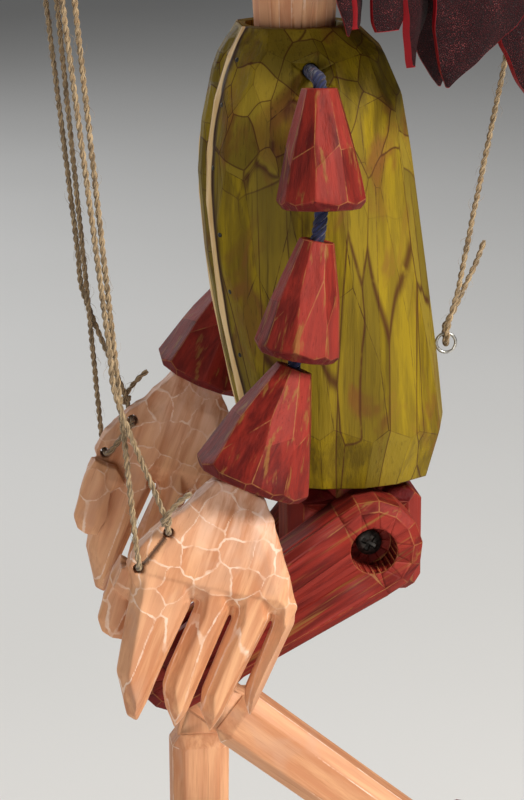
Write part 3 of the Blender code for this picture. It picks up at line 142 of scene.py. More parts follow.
# Colours of each finish, as a screen shows them from 0 to 255
TONES = {
    "green_stain": {
        "deep": (100, 80, 6), "light": (143, 120, 8), "rubbed": (128, 108, 30), "patch": (112, 72, 26),
        "fibre": (66, 50, 14), "line": (62, 34, 14), "crack": (58, 24, 12), "pale_cut": (138, 116, 32),
        "deep_cut": (76, 62, 14), "cut_line": (64, 26, 12), "rim": (206, 168, 112),
        "rim_light": (232, 200, 148), "seam": (56, 34, 16),
    },
    "red_stain": {
        "deep": (84, 18, 14), "light": (130, 36, 26), "rubbed": (156, 56, 46), "worn": (134, 92, 44),
        # The hem tone is painted shade for the faces at the hem ends
        "fibre": (86, 18, 18), "hem": (84, 12, 16), "line": (150, 98, 56),
    },
    "bare_wood": {
        "deep": (190, 126, 86), "light": (222, 166, 122), "rubbed": (214, 160, 122), "ashy": (196, 150, 122),
        "fibre": (168, 110, 66), "line": (230, 194, 168), "ridge": (240, 216, 196), "wash": (226, 192, 178),
        # The groove tone is painted shade in the string groove of the hands
        "groove_shade": (44, 26, 16),
    },
    "face": {"pale": (232, 222, 206), "red": (168, 34, 30), "dark": (54, 34, 28)},
    "bar_wood": {"deep": (168, 116, 66), "light": (204, 152, 96), "fibre": (120, 78, 42)},
    "jute": {"deep": (92, 74, 52), "light": (172, 148, 114), "patch": (138, 112, 80)},
    "blue_cord": {"deep": (10, 12, 34), "light": (26, 34, 78), "rust": (96, 50, 56)},
    "leather": {"deep": (20, 5, 8), "light": (56, 13, 18), "worn": (136, 66, 66), "cut": (126, 12, 20)},
    "zinc": {"base": (205, 203, 198), "patch": (160, 158, 152)},
    "dark_screw": {"base": (74, 70, 66), "patch": (38, 36, 34)},
    "red_paint": {"base": (186, 26, 24), "patch": (150, 16, 18)},
    "black_bead": {"base": (14, 12, 12), "patch": (26, 22, 22)},
    "floor": {"base": (222, 222, 220), "patch": (230, 230, 229)},
}


# Shader helpers
def tone(red, green, blue):
    """A colour from its values on a screen."""
    parts = [value / 255 for value in (red, green, blue)]
    return tuple(v / 12.92 if v <= 0.04045 else ((v + 0.055) / 1.055) ** 2.4 for v in parts) + (1.0,)


def palette(finish):
    """The colours of a finish by their names."""
    return {label: tone(*values) for label, values in TONES[finish].items()}


def fed(tree, node, inputs):
    """A node with its inputs set or linked."""
    for key, value in inputs.items():
        if isinstance(value, bpy.types.NodeSocket):
            tree.links.new(value, node.inputs[key])
        else:
            node.inputs[key].default_value = value
    return node


def add(tree, kind, inputs=None, **settings):
    """A new shader node."""
    made = tree.nodes.new("ShaderNode" + kind)
    for key, value in settings.items():
        setattr(made, key, value)
    return fed(tree, made, inputs or {})


def field(tree, where, scale, detail=3.0, stretch=(1, 1, 1), warp=0.0):
    """Soft noise from 0 to 1."""
    at = add(tree, "Mapping", {"Vector": where, "Scale": stretch}).outputs[0]
    return add(tree, "TexNoise", {
        "Vector": at, "Scale": scale, "Detail": detail, "Roughness": 0.6, "Distortion": warp,
    }).outputs[0]


def step(tree, value, low, high):
    """0 up to the low value, 1 from the high one, and a smooth step between."""
    return add(tree, "MapRange", {
        "Value": value, "From Min": low, "From Max": high,
    }, interpolation_type="SMOOTHSTEP").outputs[0]


def calc(tree, operation, one, two=0.0):
    """One sum."""
    return add(tree, "Math", {0: one, 1: two}, operation=operation).outputs[0]


def times(tree, one, two):
    """Two values multiplied."""
    return calc(tree, "MULTIPLY", one, two)


def rest_of(tree, share):
    """What a share leaves of 1."""
    return calc(tree, "SUBTRACT", 1.0, share)


def mixed(tree, share, one, two):
    """Between two colours."""
    return add(tree, "Mix", {0: share, 6: one, 7: two}, data_type="RGBA").outputs[2]


def laid(tree, base, colour, mask, strength):
    """A colour laid over another one through a mask."""
    return mixed(tree, times(tree, mask, strength), base, colour)


def attribute(tree, name, output="Fac"):
    """A value that the mesh carries."""
    return add(tree, "Attribute", attribute_name=name).outputs[output]


def on_piece(tree):
    """Places on a piece, in the figure's frame."""
    return add(tree, "TexCoord").outputs["Object"]


def group(name, inputs, outputs, fill):
    """A shared effect: fill makes its nodes from the inputs and returns the outputs."""
    tree = bpy.data.node_groups.new(name, "ShaderNodeTree")
    for label, kind in inputs:
        tree.interface.new_socket(label, in_out="INPUT", socket_type="NodeSocket" + kind)
    for label, kind in outputs:
        tree.interface.new_socket(label, in_out="OUTPUT", socket_type="NodeSocket" + kind)
    entry = tree.nodes.new("NodeGroupInput")
    leaving = tree.nodes.new("NodeGroupOutput")
    made = fill(tree, *[entry.outputs[label] for label, _ in inputs])
    for (label, _), socket in zip(outputs, made):
        tree.links.new(socket, leaving.inputs[label])
    return tree


def use(tree, shared, **inputs):
    """A shared effect in a material."""
    return fed(tree, add(tree, "Group", node_tree=shared), inputs).outputs


def material(name, paint, roughness, relief=0.0, metallic=0.0, sheen=0.0, shine=0.4):
    """A material: paint makes the colour and the height of its surface."""
    made = bpy.data.materials.new(name)
    made.use_nodes = True
    tree = made.node_tree
    colour, height = paint(tree)
    shader = fed(tree, tree.nodes["Principled BSDF"], {
        "Base Color": colour, "Roughness": roughness, "Metallic": metallic, "Sheen Weight": sheen,
        "Specular IOR Level": shine,
    })
    if height is not None:
        bump = add(tree, "Bump", {"Height": height, "Strength": 1.0, "Distance": relief})
        tree.links.new(bump.outputs[0], shader.inputs["Normal"])
    return made


# Effects that the wooden finishes share
def fill_grain(tree, where):
    """Fine fibres, wider streaks and soft patches along the grain."""
    fibre = field(tree, where, scale=1500, stretch=(1, 1, 0.03))
    streak = field(tree, where, scale=300, detail=4, stretch=(1, 1, 0.10), warp=0.4)
    patch = field(tree, where, scale=75, stretch=(1, 1, 0.6), warp=0.6)
    return fibre, streak, patch, calc(tree, "ADD", fibre, streak)


def fill_lines(tree, where, edge, width):
    """Uneven lines along the edges between cuts, whole and broken off here and there."""
    wander = calc(tree, "SUBTRACT", field(tree, where, scale=420), 0.5)
    fade = step(tree, field(tree, where, scale=150), 0.40, 0.60)
    near = calc(tree, "ADD", edge, times(tree, wander, 0.9))
    start = rest_of(tree, width)
    line = step(tree, near, start, calc(tree, "ADD", start, 0.30))
    return line, times(tree, line, fade)


grain = group(
    "grain", [("Where", "Vector")],
    [("Fibre", "Float"), ("Streak", "Float"), ("Patch", "Float"), ("Height", "Float")], fill_grain,
)
lines = group(
    "lines", [("Where", "Vector"), ("Edge", "Float"), ("Width", "Float")],
    [("Line", "Float"), ("Broken", "Float")], fill_lines,
)


def wood(tree, width):
    """What the carved finishes start from: place in the wood, grain, lines and a value for each cut."""
    where = attribute(tree, "wood", "Vector")
    cut = use(tree, lines, Where=where, Edge=attribute(tree, "edge"), Width=width)
    return where, use(tree, grain, Where=where), cut, attribute(tree, "shade")


# Green stain of the torso
CHEST_HEIGHTS = (-0.276, -0.250)
TORSO_HEIGHTS = (-0.337, -0.220)
# The front rim: share of the torso's height, and share of the way from its foremost to its hindmost place
RIM = (
    (0.0, 0.86), (0.094, 0.67), (0.188, 0.53), (0.393, 0.28), (0.624, 0.125), (0.735, 0.14), (0.846, 0.24),
    (0.94, 0.41), (1.0, 0.59),
)
RIM_DEPTHS = (-0.026, -0.006)
RIM_WIDTHS = (0.0014, 0.0017)
SEAM_WIDTHS = (0.0018, 0.0026)
RIM_WAVER = 0.0005
RIM_NARROWING = 0.0006
PANEL_HALVES = (0.0064, 0.0068)
CELL_BEND = (0.006, 0.006, 0.006)


def cells(tree, where, scale, stretch, wide):
    """Thin lines between irregular cuts, and a tint for each cut."""
    at = add(tree, "Mapping", {"Vector": where, "Scale": stretch}).outputs[0]
    bend = add(tree, "TexNoise", {"Vector": at, "Scale": 70.0, "Detail": 1.0}).outputs["Color"]
    bend = add(tree, "VectorMath", {0: bend, 1: CELL_BEND}, operation="MULTIPLY").outputs[0]
    at = add(tree, "VectorMath", {0: at, 1: bend}, operation="ADD").outputs[0]
    inside = add(tree, "TexVoronoi", {"Vector": at, "Scale": scale}, feature="DISTANCE_TO_EDGE")
    tint = add(tree, "TexVoronoi", {"Vector": at, "Scale": scale}).outputs["Color"]
    return rest_of(tree, step(tree, inside.outputs["Distance"], 0.0, wide)), tint


def bare_rim(tree, base, grown, seen, tones):
    """Bare wood along the torso's front rim, with a dark seam behind it."""
    low, high = TORSO_HEIGHTS
    height = add(tree, "MapRange", {"Value": seen["Z"], "From Min": low, "From Max": high}).outputs[0]
    front = add(tree, "FloatCurve", {"Value": height})
    curve = front.mapping.curves[0]
    curve.points[0].location = RIM[0]
    curve.points[1].location = RIM[-1]
    for spot in RIM[1:-1]:
        curve.points.new(*spot)
    front.mapping.update()
    foremost, hindmost = RIM_DEPTHS
    rim = add(tree, "MapRange", {"Value": front.outputs[0], "To Min": foremost, "To Max": hindmost})
    behind = calc(tree, "SUBTRACT", seen["Y"], rim.outputs[0])
    behind = calc(tree, "ADD", behind, times(tree, grown["Streak"], RIM_WAVER))
    behind = calc(tree, "ADD", behind, times(tree, height, RIM_NARROWING))
    beside = step(tree, calc(tree, "ABSOLUTE", seen["X"]), *PANEL_HALVES)
    shell = times(tree, attribute(tree, "raw"), beside)
    pale = mixed(tree, step(tree, grown["Streak"], 0.35, 0.65), tones["rim"], tones["rim_light"])
    base = laid(tree, base, tones["seam"], rest_of(tree, step(tree, behind, *SEAM_WIDTHS)), shell)
    return laid(tree, base, pale, rest_of(tree, step(tree, behind, *RIM_WIDTHS)), shell)


def green_stain(tree):
    """Green over wood: brown patches and fibres, short cuts on the chest and long ones under it."""
    tones = palette("green_stain")
    where, grown, cut, shade = wood(tree, width=0.42)
    base = mixed(tree, step(tree, grown["Streak"], 0.36, 0.66), tones["deep"], tones["light"])
    base = mixed(tree, step(tree, shade, 0.25, 1.0), base, tones["rubbed"])
    base = mixed(tree, step(tree, grown["Patch"], 0.52, 0.70), base, tones["patch"])
    base = laid(tree, base, tones["fibre"], step(tree, grown["Fibre"], 0.56, 0.70), 0.55)
    base = laid(tree, base, tones["line"], cut["Line"], 0.25)
    base = laid(tree, base, tones["crack"], cut["Broken"], 0.9)
    seen = add(tree, "SeparateXYZ", {0: on_piece(tree)}).outputs
    chest = step(tree, seen["Z"], *CHEST_HEIGHTS)
    fade = step(tree, field(tree, where, scale=110), 0.24, 0.42)
    for scale, stretch, wide, share in (
        (100.0, (1, 1, 0.75), 0.026, chest), (95.0, (1, 1, 0.07), 0.024, rest_of(tree, chest)),
    ):
        line, tint = cells(tree, where, scale, stretch, wide)
        base = laid(tree, base, tones["pale_cut"], step(tree, tint, 0.45, 0.65), times(tree, share, 0.42))
        dark = rest_of(tree, step(tree, tint, 0.32, 0.48))
        base = laid(tree, base, tones["deep_cut"], dark, times(tree, share, 0.45))
        base = laid(tree, base, tones["cut_line"], times(tree, times(tree, line, fade), share), 0.85)
    return bare_rim(tree, base, grown, seen, tones), grown["Height"]


def red_stain(tree):
    """Red over wood, worn through along the grain and at the edges, with painted shade on the faces at the
    hems.
    """
    tones = palette("red_stain")
    where, grown, cut, shade = wood(tree, width=0.50)
    base = mixed(tree, step(tree, grown["Streak"], 0.34, 0.66), tones["deep"], tones["light"])
    base = laid(tree, base, tones["rubbed"], step(tree, shade, 0.3, 1.0), 0.5)
    worn = step(tree, field(tree, where, scale=420, stretch=(1, 1, 0.05)), 0.57, 0.68)
    base = laid(tree, base, tones["worn"], worn, 0.7)
    base = laid(tree, base, tones["fibre"], step(tree, grown["Fibre"], 0.58, 0.72), 0.5)
    # Painted shade: faces at the hem ends, picked by which way they face, are darkened
    base = laid(tree, base, tones["hem"], attribute(tree, "hem"), 0.7)
    return laid(tree, base, tones["line"], cut["Broken"], 0.75), grown["Height"]


def bare_wood(tree):
    """Bare wood: pale ridges between the cuts, a whiter wash at the wrist and painted shade in the string
    groove.
    """
    tones = palette("bare_wood")
    where, grown, cut, shade = wood(tree, width=0.62)
    base = mixed(tree, step(tree, grown["Streak"], 0.34, 0.68), tones["deep"], tones["light"])
    base = laid(tree, base, tones["rubbed"], step(tree, shade, 0.4, 1.0), 0.6)
    base = laid(tree, base, tones["ashy"], step(tree, grown["Patch"], 0.5, 0.72), 0.6)
    base = laid(tree, base, tones["fibre"], step(tree, grown["Fibre"], 0.58, 0.72), 0.35)
    base = laid(tree, base, tones["line"], cut["Line"], 0.36)
    base = laid(tree, base, tones["ridge"], cut["Broken"], 0.6)
    washed = times(tree, attribute(tree, "wash"), step(tree, grown["Streak"], 0.30, 0.75))
    base = laid(tree, base, tones["wash"], washed, 0.8)
    # Painted shade: the dark value mixes the groove between the string holes towards near black
    return mixed(tree, attribute(tree, "dark"), base, tones["groove_shade"]), grown["Height"]


# Painted ovals on the face: middle across and up, half width and half height
# A crescent has two, the second of which is left out of the first
FACE_FRONT = (-0.020, -0.018)
MUZZLE = (0.0, -0.178, 0.019, 0.011)
EYE_PATCH = (0.0135, -0.144, 0.0085, 0.0115)
CHEEK = (0.0215, -0.165, 0.0065, 0.0065)
SMILE = ((0.0, -0.178, 0.0145, 0.0075), (0.0, -0.1735, 0.0165, 0.0075))
BROW = ((0.0135, -0.1305, 0.0085, 0.0055), (0.0135, -0.1330, 0.0095, 0.0058))


def face(tree):
    """Bare wood with a plain painted face: pale muzzle and eye patches, red cheeks and mouth, dark brows."""
    tones = palette("face")
    base, height = bare_wood(tree)
    seen = add(tree, "SeparateXYZ", {0: on_piece(tree)}).outputs
    across = calc(tree, "ABSOLUTE", seen["X"])
    ahead = rest_of(tree, step(tree, seen["Y"], *FACE_FRONT))

    def disc(x, z, wide, high):
        """An oval on both halves of the face."""
        one = calc(tree, "DIVIDE", calc(tree, "SUBTRACT", across, x), wide)
        two = calc(tree, "DIVIDE", calc(tree, "SUBTRACT", seen["Z"], z), high)
        far = calc(tree, "ADD", times(tree, one, one), times(tree, two, two))
        return rest_of(tree, step(tree, far, 0.92, 1.06))

    def crescent(inside, outside):
        """An oval without another one."""
        return times(tree, disc(*inside), rest_of(tree, disc(*outside)))

    for mask, colour in (
        (disc(*MUZZLE), "pale"), (disc(*EYE_PATCH), "pale"), (disc(*CHEEK), "red"),
        (crescent(*SMILE), "red"), (crescent(*BROW), "dark"),
    ):
        base = laid(tree, base, tones[colour], mask, ahead)
    return base, height


def bar_wood(tree):
    """Planed wood of the control's bars."""
    tones = palette("bar_wood")
    grown = use(tree, grain, Where=attribute(tree, "wood", "Vector"))
    base = mixed(tree, step(tree, grown["Streak"], 0.34, 0.68), tones["deep"], tones["light"])
    return laid(tree, base, tones["fibre"], step(tree, grown["Fibre"], 0.56, 0.72), 0.5), grown["Height"]


def jute(tree):
    """Fibres along each strand, with browner stretches."""
    tones = palette("jute")
    fibre = field(tree, attribute(tree, "ply", "Vector"), scale=2600, stretch=(1, 1, 0.12))
    patch = field(tree, on_piece(tree), scale=500, detail=2)
    base = mixed(tree, step(tree, fibre, 0.35, 0.65), tones["deep"], tones["light"])
    return mixed(tree, step(tree, patch, 0.52, 0.70), base, tones["patch"]), fibre


def blue_cord(tree):
    """Dark blue strands with a few reddish threads."""
    tones = palette("blue_cord")
    along = attribute(tree, "ply", "Vector")
    fibre = field(tree, along, scale=2400, stretch=(1, 1, 0.15))
    rust = step(tree, field(tree, along, scale=420, detail=2), 0.58, 0.70)
    base = mixed(tree, step(tree, fibre, 0.35, 0.68), tones["deep"], tones["light"])
    return laid(tree, base, tones["rust"], rust, 0.5), fibre


def leather(tree):
    """Dark pebbled leather with worn specks, red where it is cut."""
    tones = palette("leather")
    where = attribute(tree, "wood", "Vector")
    inside = add(tree, "TexVoronoi", {"Vector": where, "Scale": 2300.0}, feature="DISTANCE_TO_EDGE")
    pebble = step(tree, inside.outputs["Distance"], 0.02, 0.30)
    speck = step(tree, field(tree, where, scale=3000, detail=2), 0.50, 0.62)
    worn = step(tree, field(tree, where, scale=170), 0.42, 0.70)
    base = mixed(tree, pebble, tones["deep"], tones["light"])
    base = laid(tree, base, tones["worn"], times(tree, times(tree, speck, pebble), worn), 0.8)
    cut = step(tree, attribute(tree, "raw"), 0.4, 0.6)
    return mixed(tree, cut, base, tones["cut"]), times(tree, pebble, rest_of(tree, cut))


def mottled(finish, scale):
    """A slightly uneven finish in two tones."""
    def paint(tree):
        tones = palette(finish)
        patch = field(tree, on_piece(tree), scale)
        return mixed(tree, step(tree, patch, 0.35, 0.7), tones["base"], tones["patch"]), patch
    return paint


def even(finish, scale):
    """A smooth finish whose tone hardly changes."""
    def paint(tree):
        tones = palette(finish)
        return mixed(tree, field(tree, on_piece(tree), scale, detail=2), tones["base"], tones["patch"]), None
    return paint


# Each finish: paint, roughness, height of its relief, and what else it has
FINISHES = {
    "green_stain": (green_stain, 0.56, 0.00018, {"shine": 0.14}),
    "red_stain": (red_stain, 0.58, 0.00016, {"shine": 0.16}),
    "bare_wood": (bare_wood, 0.58, 0.00007, {}),
    "face": (face, 0.55, 0.00007, {}),
    "bar_wood": (bar_wood, 0.55, 0.00006, {}),
    "jute": (jute, 0.95, 0.00012, {"sheen": 0.3}),
    "blue_cord": (blue_cord, 0.85, 0.00012, {"sheen": 0.2}),
    "leather": (leather, 0.50, 0.00012, {"shine": 0.16}),
    "zinc": (mottled("zinc", 900), 0.32, 0.00002, {"metallic": 1.0}),
    "dark_screw": (mottled("dark_screw", 900), 0.42, 0.00002, {"metallic": 0.8}),
    "red_paint": (mottled("red_paint", 260), 0.35, 0.00006, {}),
    "black_bead": (even("black_bead", 300), 0.08, 0.0, {}),
}
FINISH = {
    name: material(name, paint, roughness, relief, **more)
    for name, (paint, roughness, relief, more) in FINISHES.items()
}

# Meshes
SHARP_FROM = math.radians(50)
FLAT_WITHIN = math.radians(1.5)
# Faces that turn less than this at an edge, in radians, count as one flat
SAME_PLANE = 0.035
# Narrower cuts stay flat, and corners with a shorter edge get no line
LEAST_ROOM = 0.0006
SHORT_EDGE = 0.0013
EDGE_WEAR = 0.0001


def ramp(value, low, high):
    """0 up to the low value, 1 from the high one, and straight between."""
    return min(max((value - low) / (high - low), 0.0), 1.0)


def somewhere():
    """A place to start a pattern from."""
    return Vector((dice.uniform(-1, 1), dice.uniform(-1, 1), dice.uniform(-1, 1)))


def shown(name, bm, finish, body=None, nodes=()):
    """A finished piece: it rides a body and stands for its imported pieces."""
    bmesh.ops.recalc_face_normals(bm, faces=bm.faces[:])
    mesh = bpy.data.meshes.new(name)
    bm.to_mesh(mesh)
    bm.free()
    mesh.polygons.foreach_set("use_smooth", [True] * len(mesh.polygons))
    mesh.set_sharp_from_angle(angle=SHARP_FROM)
    mesh.materials.append(FINISH[finish])
    made = bpy.data.objects.new(name, mesh)
    scene.collection.objects.link(made)
    if body:
        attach(made, body)
    if nodes:
        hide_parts(*nodes)
    return made


def welded(name, reach=0.000001):
    """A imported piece's surface with its corners joined."""
    bm = bmesh.new()
    bm.from_mesh(frame["nodes"][name].data)
    bmesh.ops.remove_doubles(bm, verts=bm.verts[:], dist=reach)
    return bm


def in_cuts(name):
    """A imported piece's surface with every flat cut in one face."""
    bm = welded(name, reach=0.00004)
    bmesh.ops.dissolve_limit(bm, angle_limit=FLAT_WITHIN, verts=bm.verts[:], edges=bm.edges[:])
    bmesh.ops.remove_doubles(bm, verts=bm.verts[:], dist=0.0002)
    bmesh.ops.connect_verts_concave(bm, faces=bm.faces[:])
    return bm


def band(bm, one, two):
    """Faces between two rings of as many points."""
    for index in range(len(one)):
        after = (index + 1) % len(one)
        bm.faces.new((one[index], one[after], two[after], two[index]))


def roomy(cut):
    """About how far a face's middle is from its sides."""
    return 2 * cut.calc_area() / max(cut.calc_perimeter(), 1e-9)


def split_up(bm, largest):
    """Cuts the larger flat faces across at a slant until each is no larger than that area."""
    waiting = [cut for cut in bm.faces if cut.calc_area() > largest]
    while waiting:
        cut = waiting.pop()
        if not cut.is_valid or cut.calc_area() <= largest:
            continue
        middle = cut.calc_center_median()
        far = max(cut.verts, key=lambda v: (v.co - middle).length).co - middle
        lean = Matrix.Rotation(math.radians(dice.uniform(-35, 35)), 3, cut.normal)
        at = middle + far * dice.uniform(-0.25, 0.25)
        made = bmesh.ops.bisect_plane(
            bm, geom=[cut, *cut.edges, *cut.verts], dist=1e-6, plane_co=at, plane_no=lean @ far,
        )
        edges = [part for part in made["geom_cut"] if isinstance(part, bmesh.types.BMEdge)]
        beside = dict.fromkeys(part for edge in edges for part in edge.link_faces)
        waiting += [part for part in beside if part.calc_area() > largest]


def set_in(loop, flat, middle, rim):
    """A corner's place on a line drawn inside a face along those of its sides where the surface turns."""
    here = loop.vert.co
    one = (loop.link_loop_prev.vert.co - here).normalized()
    two = (loop.link_loop_next.vert.co - here).normalized()
    before, after = loop.link_loop_prev.edge in flat, loop.edge in flat
    if before and after:
        return here.copy()
    wide = one.angle(two, math.pi)
    if before or after:
        inward, size = (one if before else two), max(math.sin(wide), 0.25)
    else:
        inward, size = one + two, max(math.sin(wide / 2), 0.2)
    if inward.length < 0.05:
        inward = middle - here
    return here + inward.normalized() * min(rim / size, (middle - here).length * 0.4)


def carve(bm, rim, hollow):
    """Hollows each cut slightly inside a narrow rim, and wears the edges between cuts round."""
    edge_of = bm.verts.layers.float.new("edge")
    shade_of = bm.faces.layers.float.new("shade")
    bm.normal_update()
    borders = [(vert, vert.co - vert.normal * EDGE_WEAR) for vert in bm.verts]
    flat = {edge for edge in bm.edges if edge.is_manifold and edge.calc_face_angle(0.0) < SAME_PLANE}
    for vert in bm.verts:
        vert[edge_of] = 0.0 if any(edge.calc_length() < SHORT_EDGE for edge in vert.link_edges) else 1.0
    for cut in [cut for cut in bm.faces if roomy(cut) > LEAST_ROOM]:
        room = roomy(cut)
        middle = cut.calc_center_median()
        tint = dice.random()
        corners = cut.verts[:]
        rings = [corners, [], []]
        level = any(edge in flat for edge in cut.edges)
        down = Vector() if level else cut.normal * -hollow * room
        for loop in cut.loops:
            rings[1].append(bm.verts.new(set_in(loop, flat, middle, min(rim, room * 0.3))))
            rings[2].append(bm.verts.new(loop.vert.co.lerp(middle, 0.45) + down * 0.7))
        hub = bm.verts.new(middle + down)
        bm.faces.remove(cut)
        made = []
        for index in range(len(corners)):
            after = (index + 1) % len(corners)
            for outer, inner in zip(rings, rings[1:]):
                made.append(bm.faces.new((outer[index], outer[after], inner[after], inner[index])))
            made.append(bm.faces.new((rings[2][index], rings[2][after], hub)))
        for part in made:
            part[shade_of] = tint
    for vert, place in borders:
        vert.co = place


def along_grain(bm, start, direction):
    """Gives each point its place in the wood, with the grain along its third value."""
    place_of = bm.verts.layers.float_vector.new("wood")
    turn = Vector(direction).to_track_quat("Z", "Y").to_matrix().transposed()
    offset = somewhere()
    for vert in bm.verts:
        vert[place_of] = turn @ (vert.co - Vector(start)) + offset


def carved(name, body, finish, start, direction, rim=0.0004, hollow=0.03, largest=None, grown=None):
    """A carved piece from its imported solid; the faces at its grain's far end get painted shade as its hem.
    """
    bm = in_cuts(name)
    if grown:
        grown(bm)
    if largest:
        split_up(bm, largest)
    carve(bm, rim, hollow)
    along_grain(bm, start, direction)
    # Painted shade: how far each face turns towards the grain's far end, for the darker hem
    hem_of = bm.faces.layers.float.new("hem")
    bm.normal_update()
    for part in bm.faces:
        part[hem_of] = ramp(part.normal.dot(Vector(direction).normalized()), 0.25, 0.50)
    return shown(name + "_carved", bm, finish, body, (name,))


def worked(bm, kind, **settings):
    """The same shape after one more working of its surface."""
    mesh = bpy.data.meshes.new("rough")
    bm.to_mesh(mesh)
    bm.free()
    rough = bpy.data.objects.new("rough", mesh)
    scene.collection.objects.link(rough)
    working = rough.modifiers.new("working", kind)
    for key, value in settings.items():
        setattr(working, key, value)
    done = rough.evaluated_get(bpy.context.evaluated_depsgraph_get())
    made = bmesh.new()
    made.from_mesh(done.to_mesh())
    done.to_mesh_clear()
    bpy.data.objects.remove(rough)
    bpy.data.meshes.remove(mesh)
    return made


def rounded(name, body, finish):
    """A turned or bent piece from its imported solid, with its small facets smoothed away."""
    bm = welded(name, reach=0.00002)
    bmesh.ops.join_triangles(bm, faces=bm.faces[:], angle_face_threshold=0.7, angle_shape_threshold=0.7)
    bm = worked(bm, "SUBSURF", levels=2, render_levels=2)
    return shown(name + "_smooth", bm, finish, body, (name,))


def scattered(points, apart):
    """Some of the points, none closer together than that."""
    taken, kept = {}, []
    for index in dice.sample(range(len(points)), len(points)):
        point = points[index]
        cell = tuple(int(value // apart) for value in point)
        near = (
            other for x in (-1, 0, 1) for y in (-1, 0, 1) for z in (-1, 0, 1)
            for other in taken.get((cell[0] + x, cell[1] + y, cell[2] + z), ())
        )
        if all((point - other).length > apart for other in near):
            taken.setdefault(cell, []).append(point)
            kept.append(point)
    return kept


def turn_at(vert):
    """How far the surface falls away round a point."""
    falls = [(edge.other_vert(vert).co - vert.co).normalized().dot(vert.normal) for edge in vert.link_edges]
    return -sum(falls) / max(len(falls), 1)


def chiselled(bm, stretched, apart, depth, line, strength):
    """Shallow scoops all over a skin, with a pale line of some strength on the ridge where two meet."""
    edge_of = bm.verts.layers.float.new("edge")
    shade_of = bm.verts.layers.float.new("shade")
    bm.normal_update()
    verts = bm.verts[:]
    spots = [stretched(vert.co) for vert in verts]
    seeds = scattered(spots, apart)
    tree = KDTree(len(seeds))
    for index, seed in enumerate(seeds):
        tree.insert(seed, index)
    tree.balance()
    tints = [dice.random() for _ in seeds]
    moved = []
    for vert, spot in zip(verts, spots):
        worn = min((turn_at(vert) - 0.07) / 0.12, 0.8)
        wander = noise.noise_vector(spot * 260) * 0.0011 + noise.noise_vector(spot * 900) * 0.00025
        (_, first, near), (_, _, far) = tree.find_n(spot + wander, 2)
        vert[edge_of] = max(1 - (far - near) / 2 / line, worn, 0.0) * strength
        vert[shade_of] = tints[first]
        share = 2 * near / (near + far)
        moved.append(vert.co - vert.normal * depth * (1 - share * share))
    for vert, place in zip(verts, moved):
        vert.co = place


# Strings and cords
# Radius, length of a turn, stray fibres in a metre, and looseness of the plies
STRING = 0.0008
STRING_PITCH = 0.0046
STRING_HAIRS, STRING_LOOSE = 520, 0.12
CORD = 0.0018
CORD_PITCH = 0.0060
CORD_HAIRS, CORD_LOOSE = 60, 0.1
SPACING = 0.0005
STRAND_SIDES = 7
HAIR_SIDES = 3
HAIR_PARTS = 5
# Points of a line on each side of a hair that have to be nearly straight
HAIR_ROOM = 9
KNOT_PARTS = 48
EYE_RING = 0.0026
# Through a screw eye, in radii of its ring: beside its middle and above it
RING_ROUTE = ((0.7, 1.55), (0.7, 0.65), (0.0, -0.09), (-0.7, 0.65), (-0.7, 1.55))
CROSSBAR_TOP = -0.0123
CROSSBAR_UNDER = CROSSBAR_TOP - 0.014
# How far a string stands above the bar that it is knotted on
STRING_END = 0.0024


def flowing(before, start, end, after, share):
    """A point of a smooth curve from start to end, eased in from the run before and out to the one after."""
    into = (end - before).normalized() * (end - start).length
    out = (after - start).normalized() * (end - start).length
    square, cube = share * share, share ** 3
    return (
        start * (2 * cube - 3 * square + 1) + into * (cube - 2 * square + share)
        + end * (3 * square - 2 * cube) + out * (cube - square)
    )


def smooth(route, parts=None):
    """Points along a smooth curve through a route, so many for each stretch or else evenly spaced."""
    points = [Vector(point) for point in route]
    line = []
    for index in range(len(points) - 1):
        before, after = points[max(index - 1, 0)], points[min(index + 2, len(points) - 1)]
        start, end = points[index], points[index + 1]
        count = parts or max(round((end - start).length / SPACING), 1)
        line += [flowing(before, start, end, after, part / count) for part in range(count)]
    return line + [points[-1]]


def length_of(line):
    """How long a line of points is."""
    return sum((two - one).length for one, two in zip(line, line[1:]))


def followed(line):
    """Each point of a line with two directions across it and the length so far."""
    across = (line[1] - line[0]).orthogonal().normalized()
    run, places = 0.0, []
    for index, point in enumerate(line):
        here = (line[min(index + 1, len(line) - 1)] - line[max(index - 1, 0)]).normalized()
        across = (across - here * across.dot(here)).normalized()
        if index:
            run += (point - line[index - 1]).length
        places.append((point, across.copy(), here.cross(across), run))
    return places


def tube(bm, line, radius, sides, ply_of, mark=0.0, taper=0.0):
    """A thin tube along a line, with each point's place round and along it."""
    rings = []
    for index, (point, one, two, run) in enumerate(followed(line)):
        size = radius * (1 - taper * index / len(line))
        ring = []
        for side in range(sides):
            turn = math.tau * side / sides
            vert = bm.verts.new(point + (one * math.cos(turn) + two * math.sin(turn)) * size)
            vert[ply_of] = (math.cos(turn) * radius + mark, math.sin(turn) * radius, run)
            ring.append(vert)
        rings.append(ring)
    for one, two in zip(rings, rings[1:]):
        band(bm, one, two)
    bm.faces.new(rings[0][::-1])
    bm.faces.new(rings[-1])


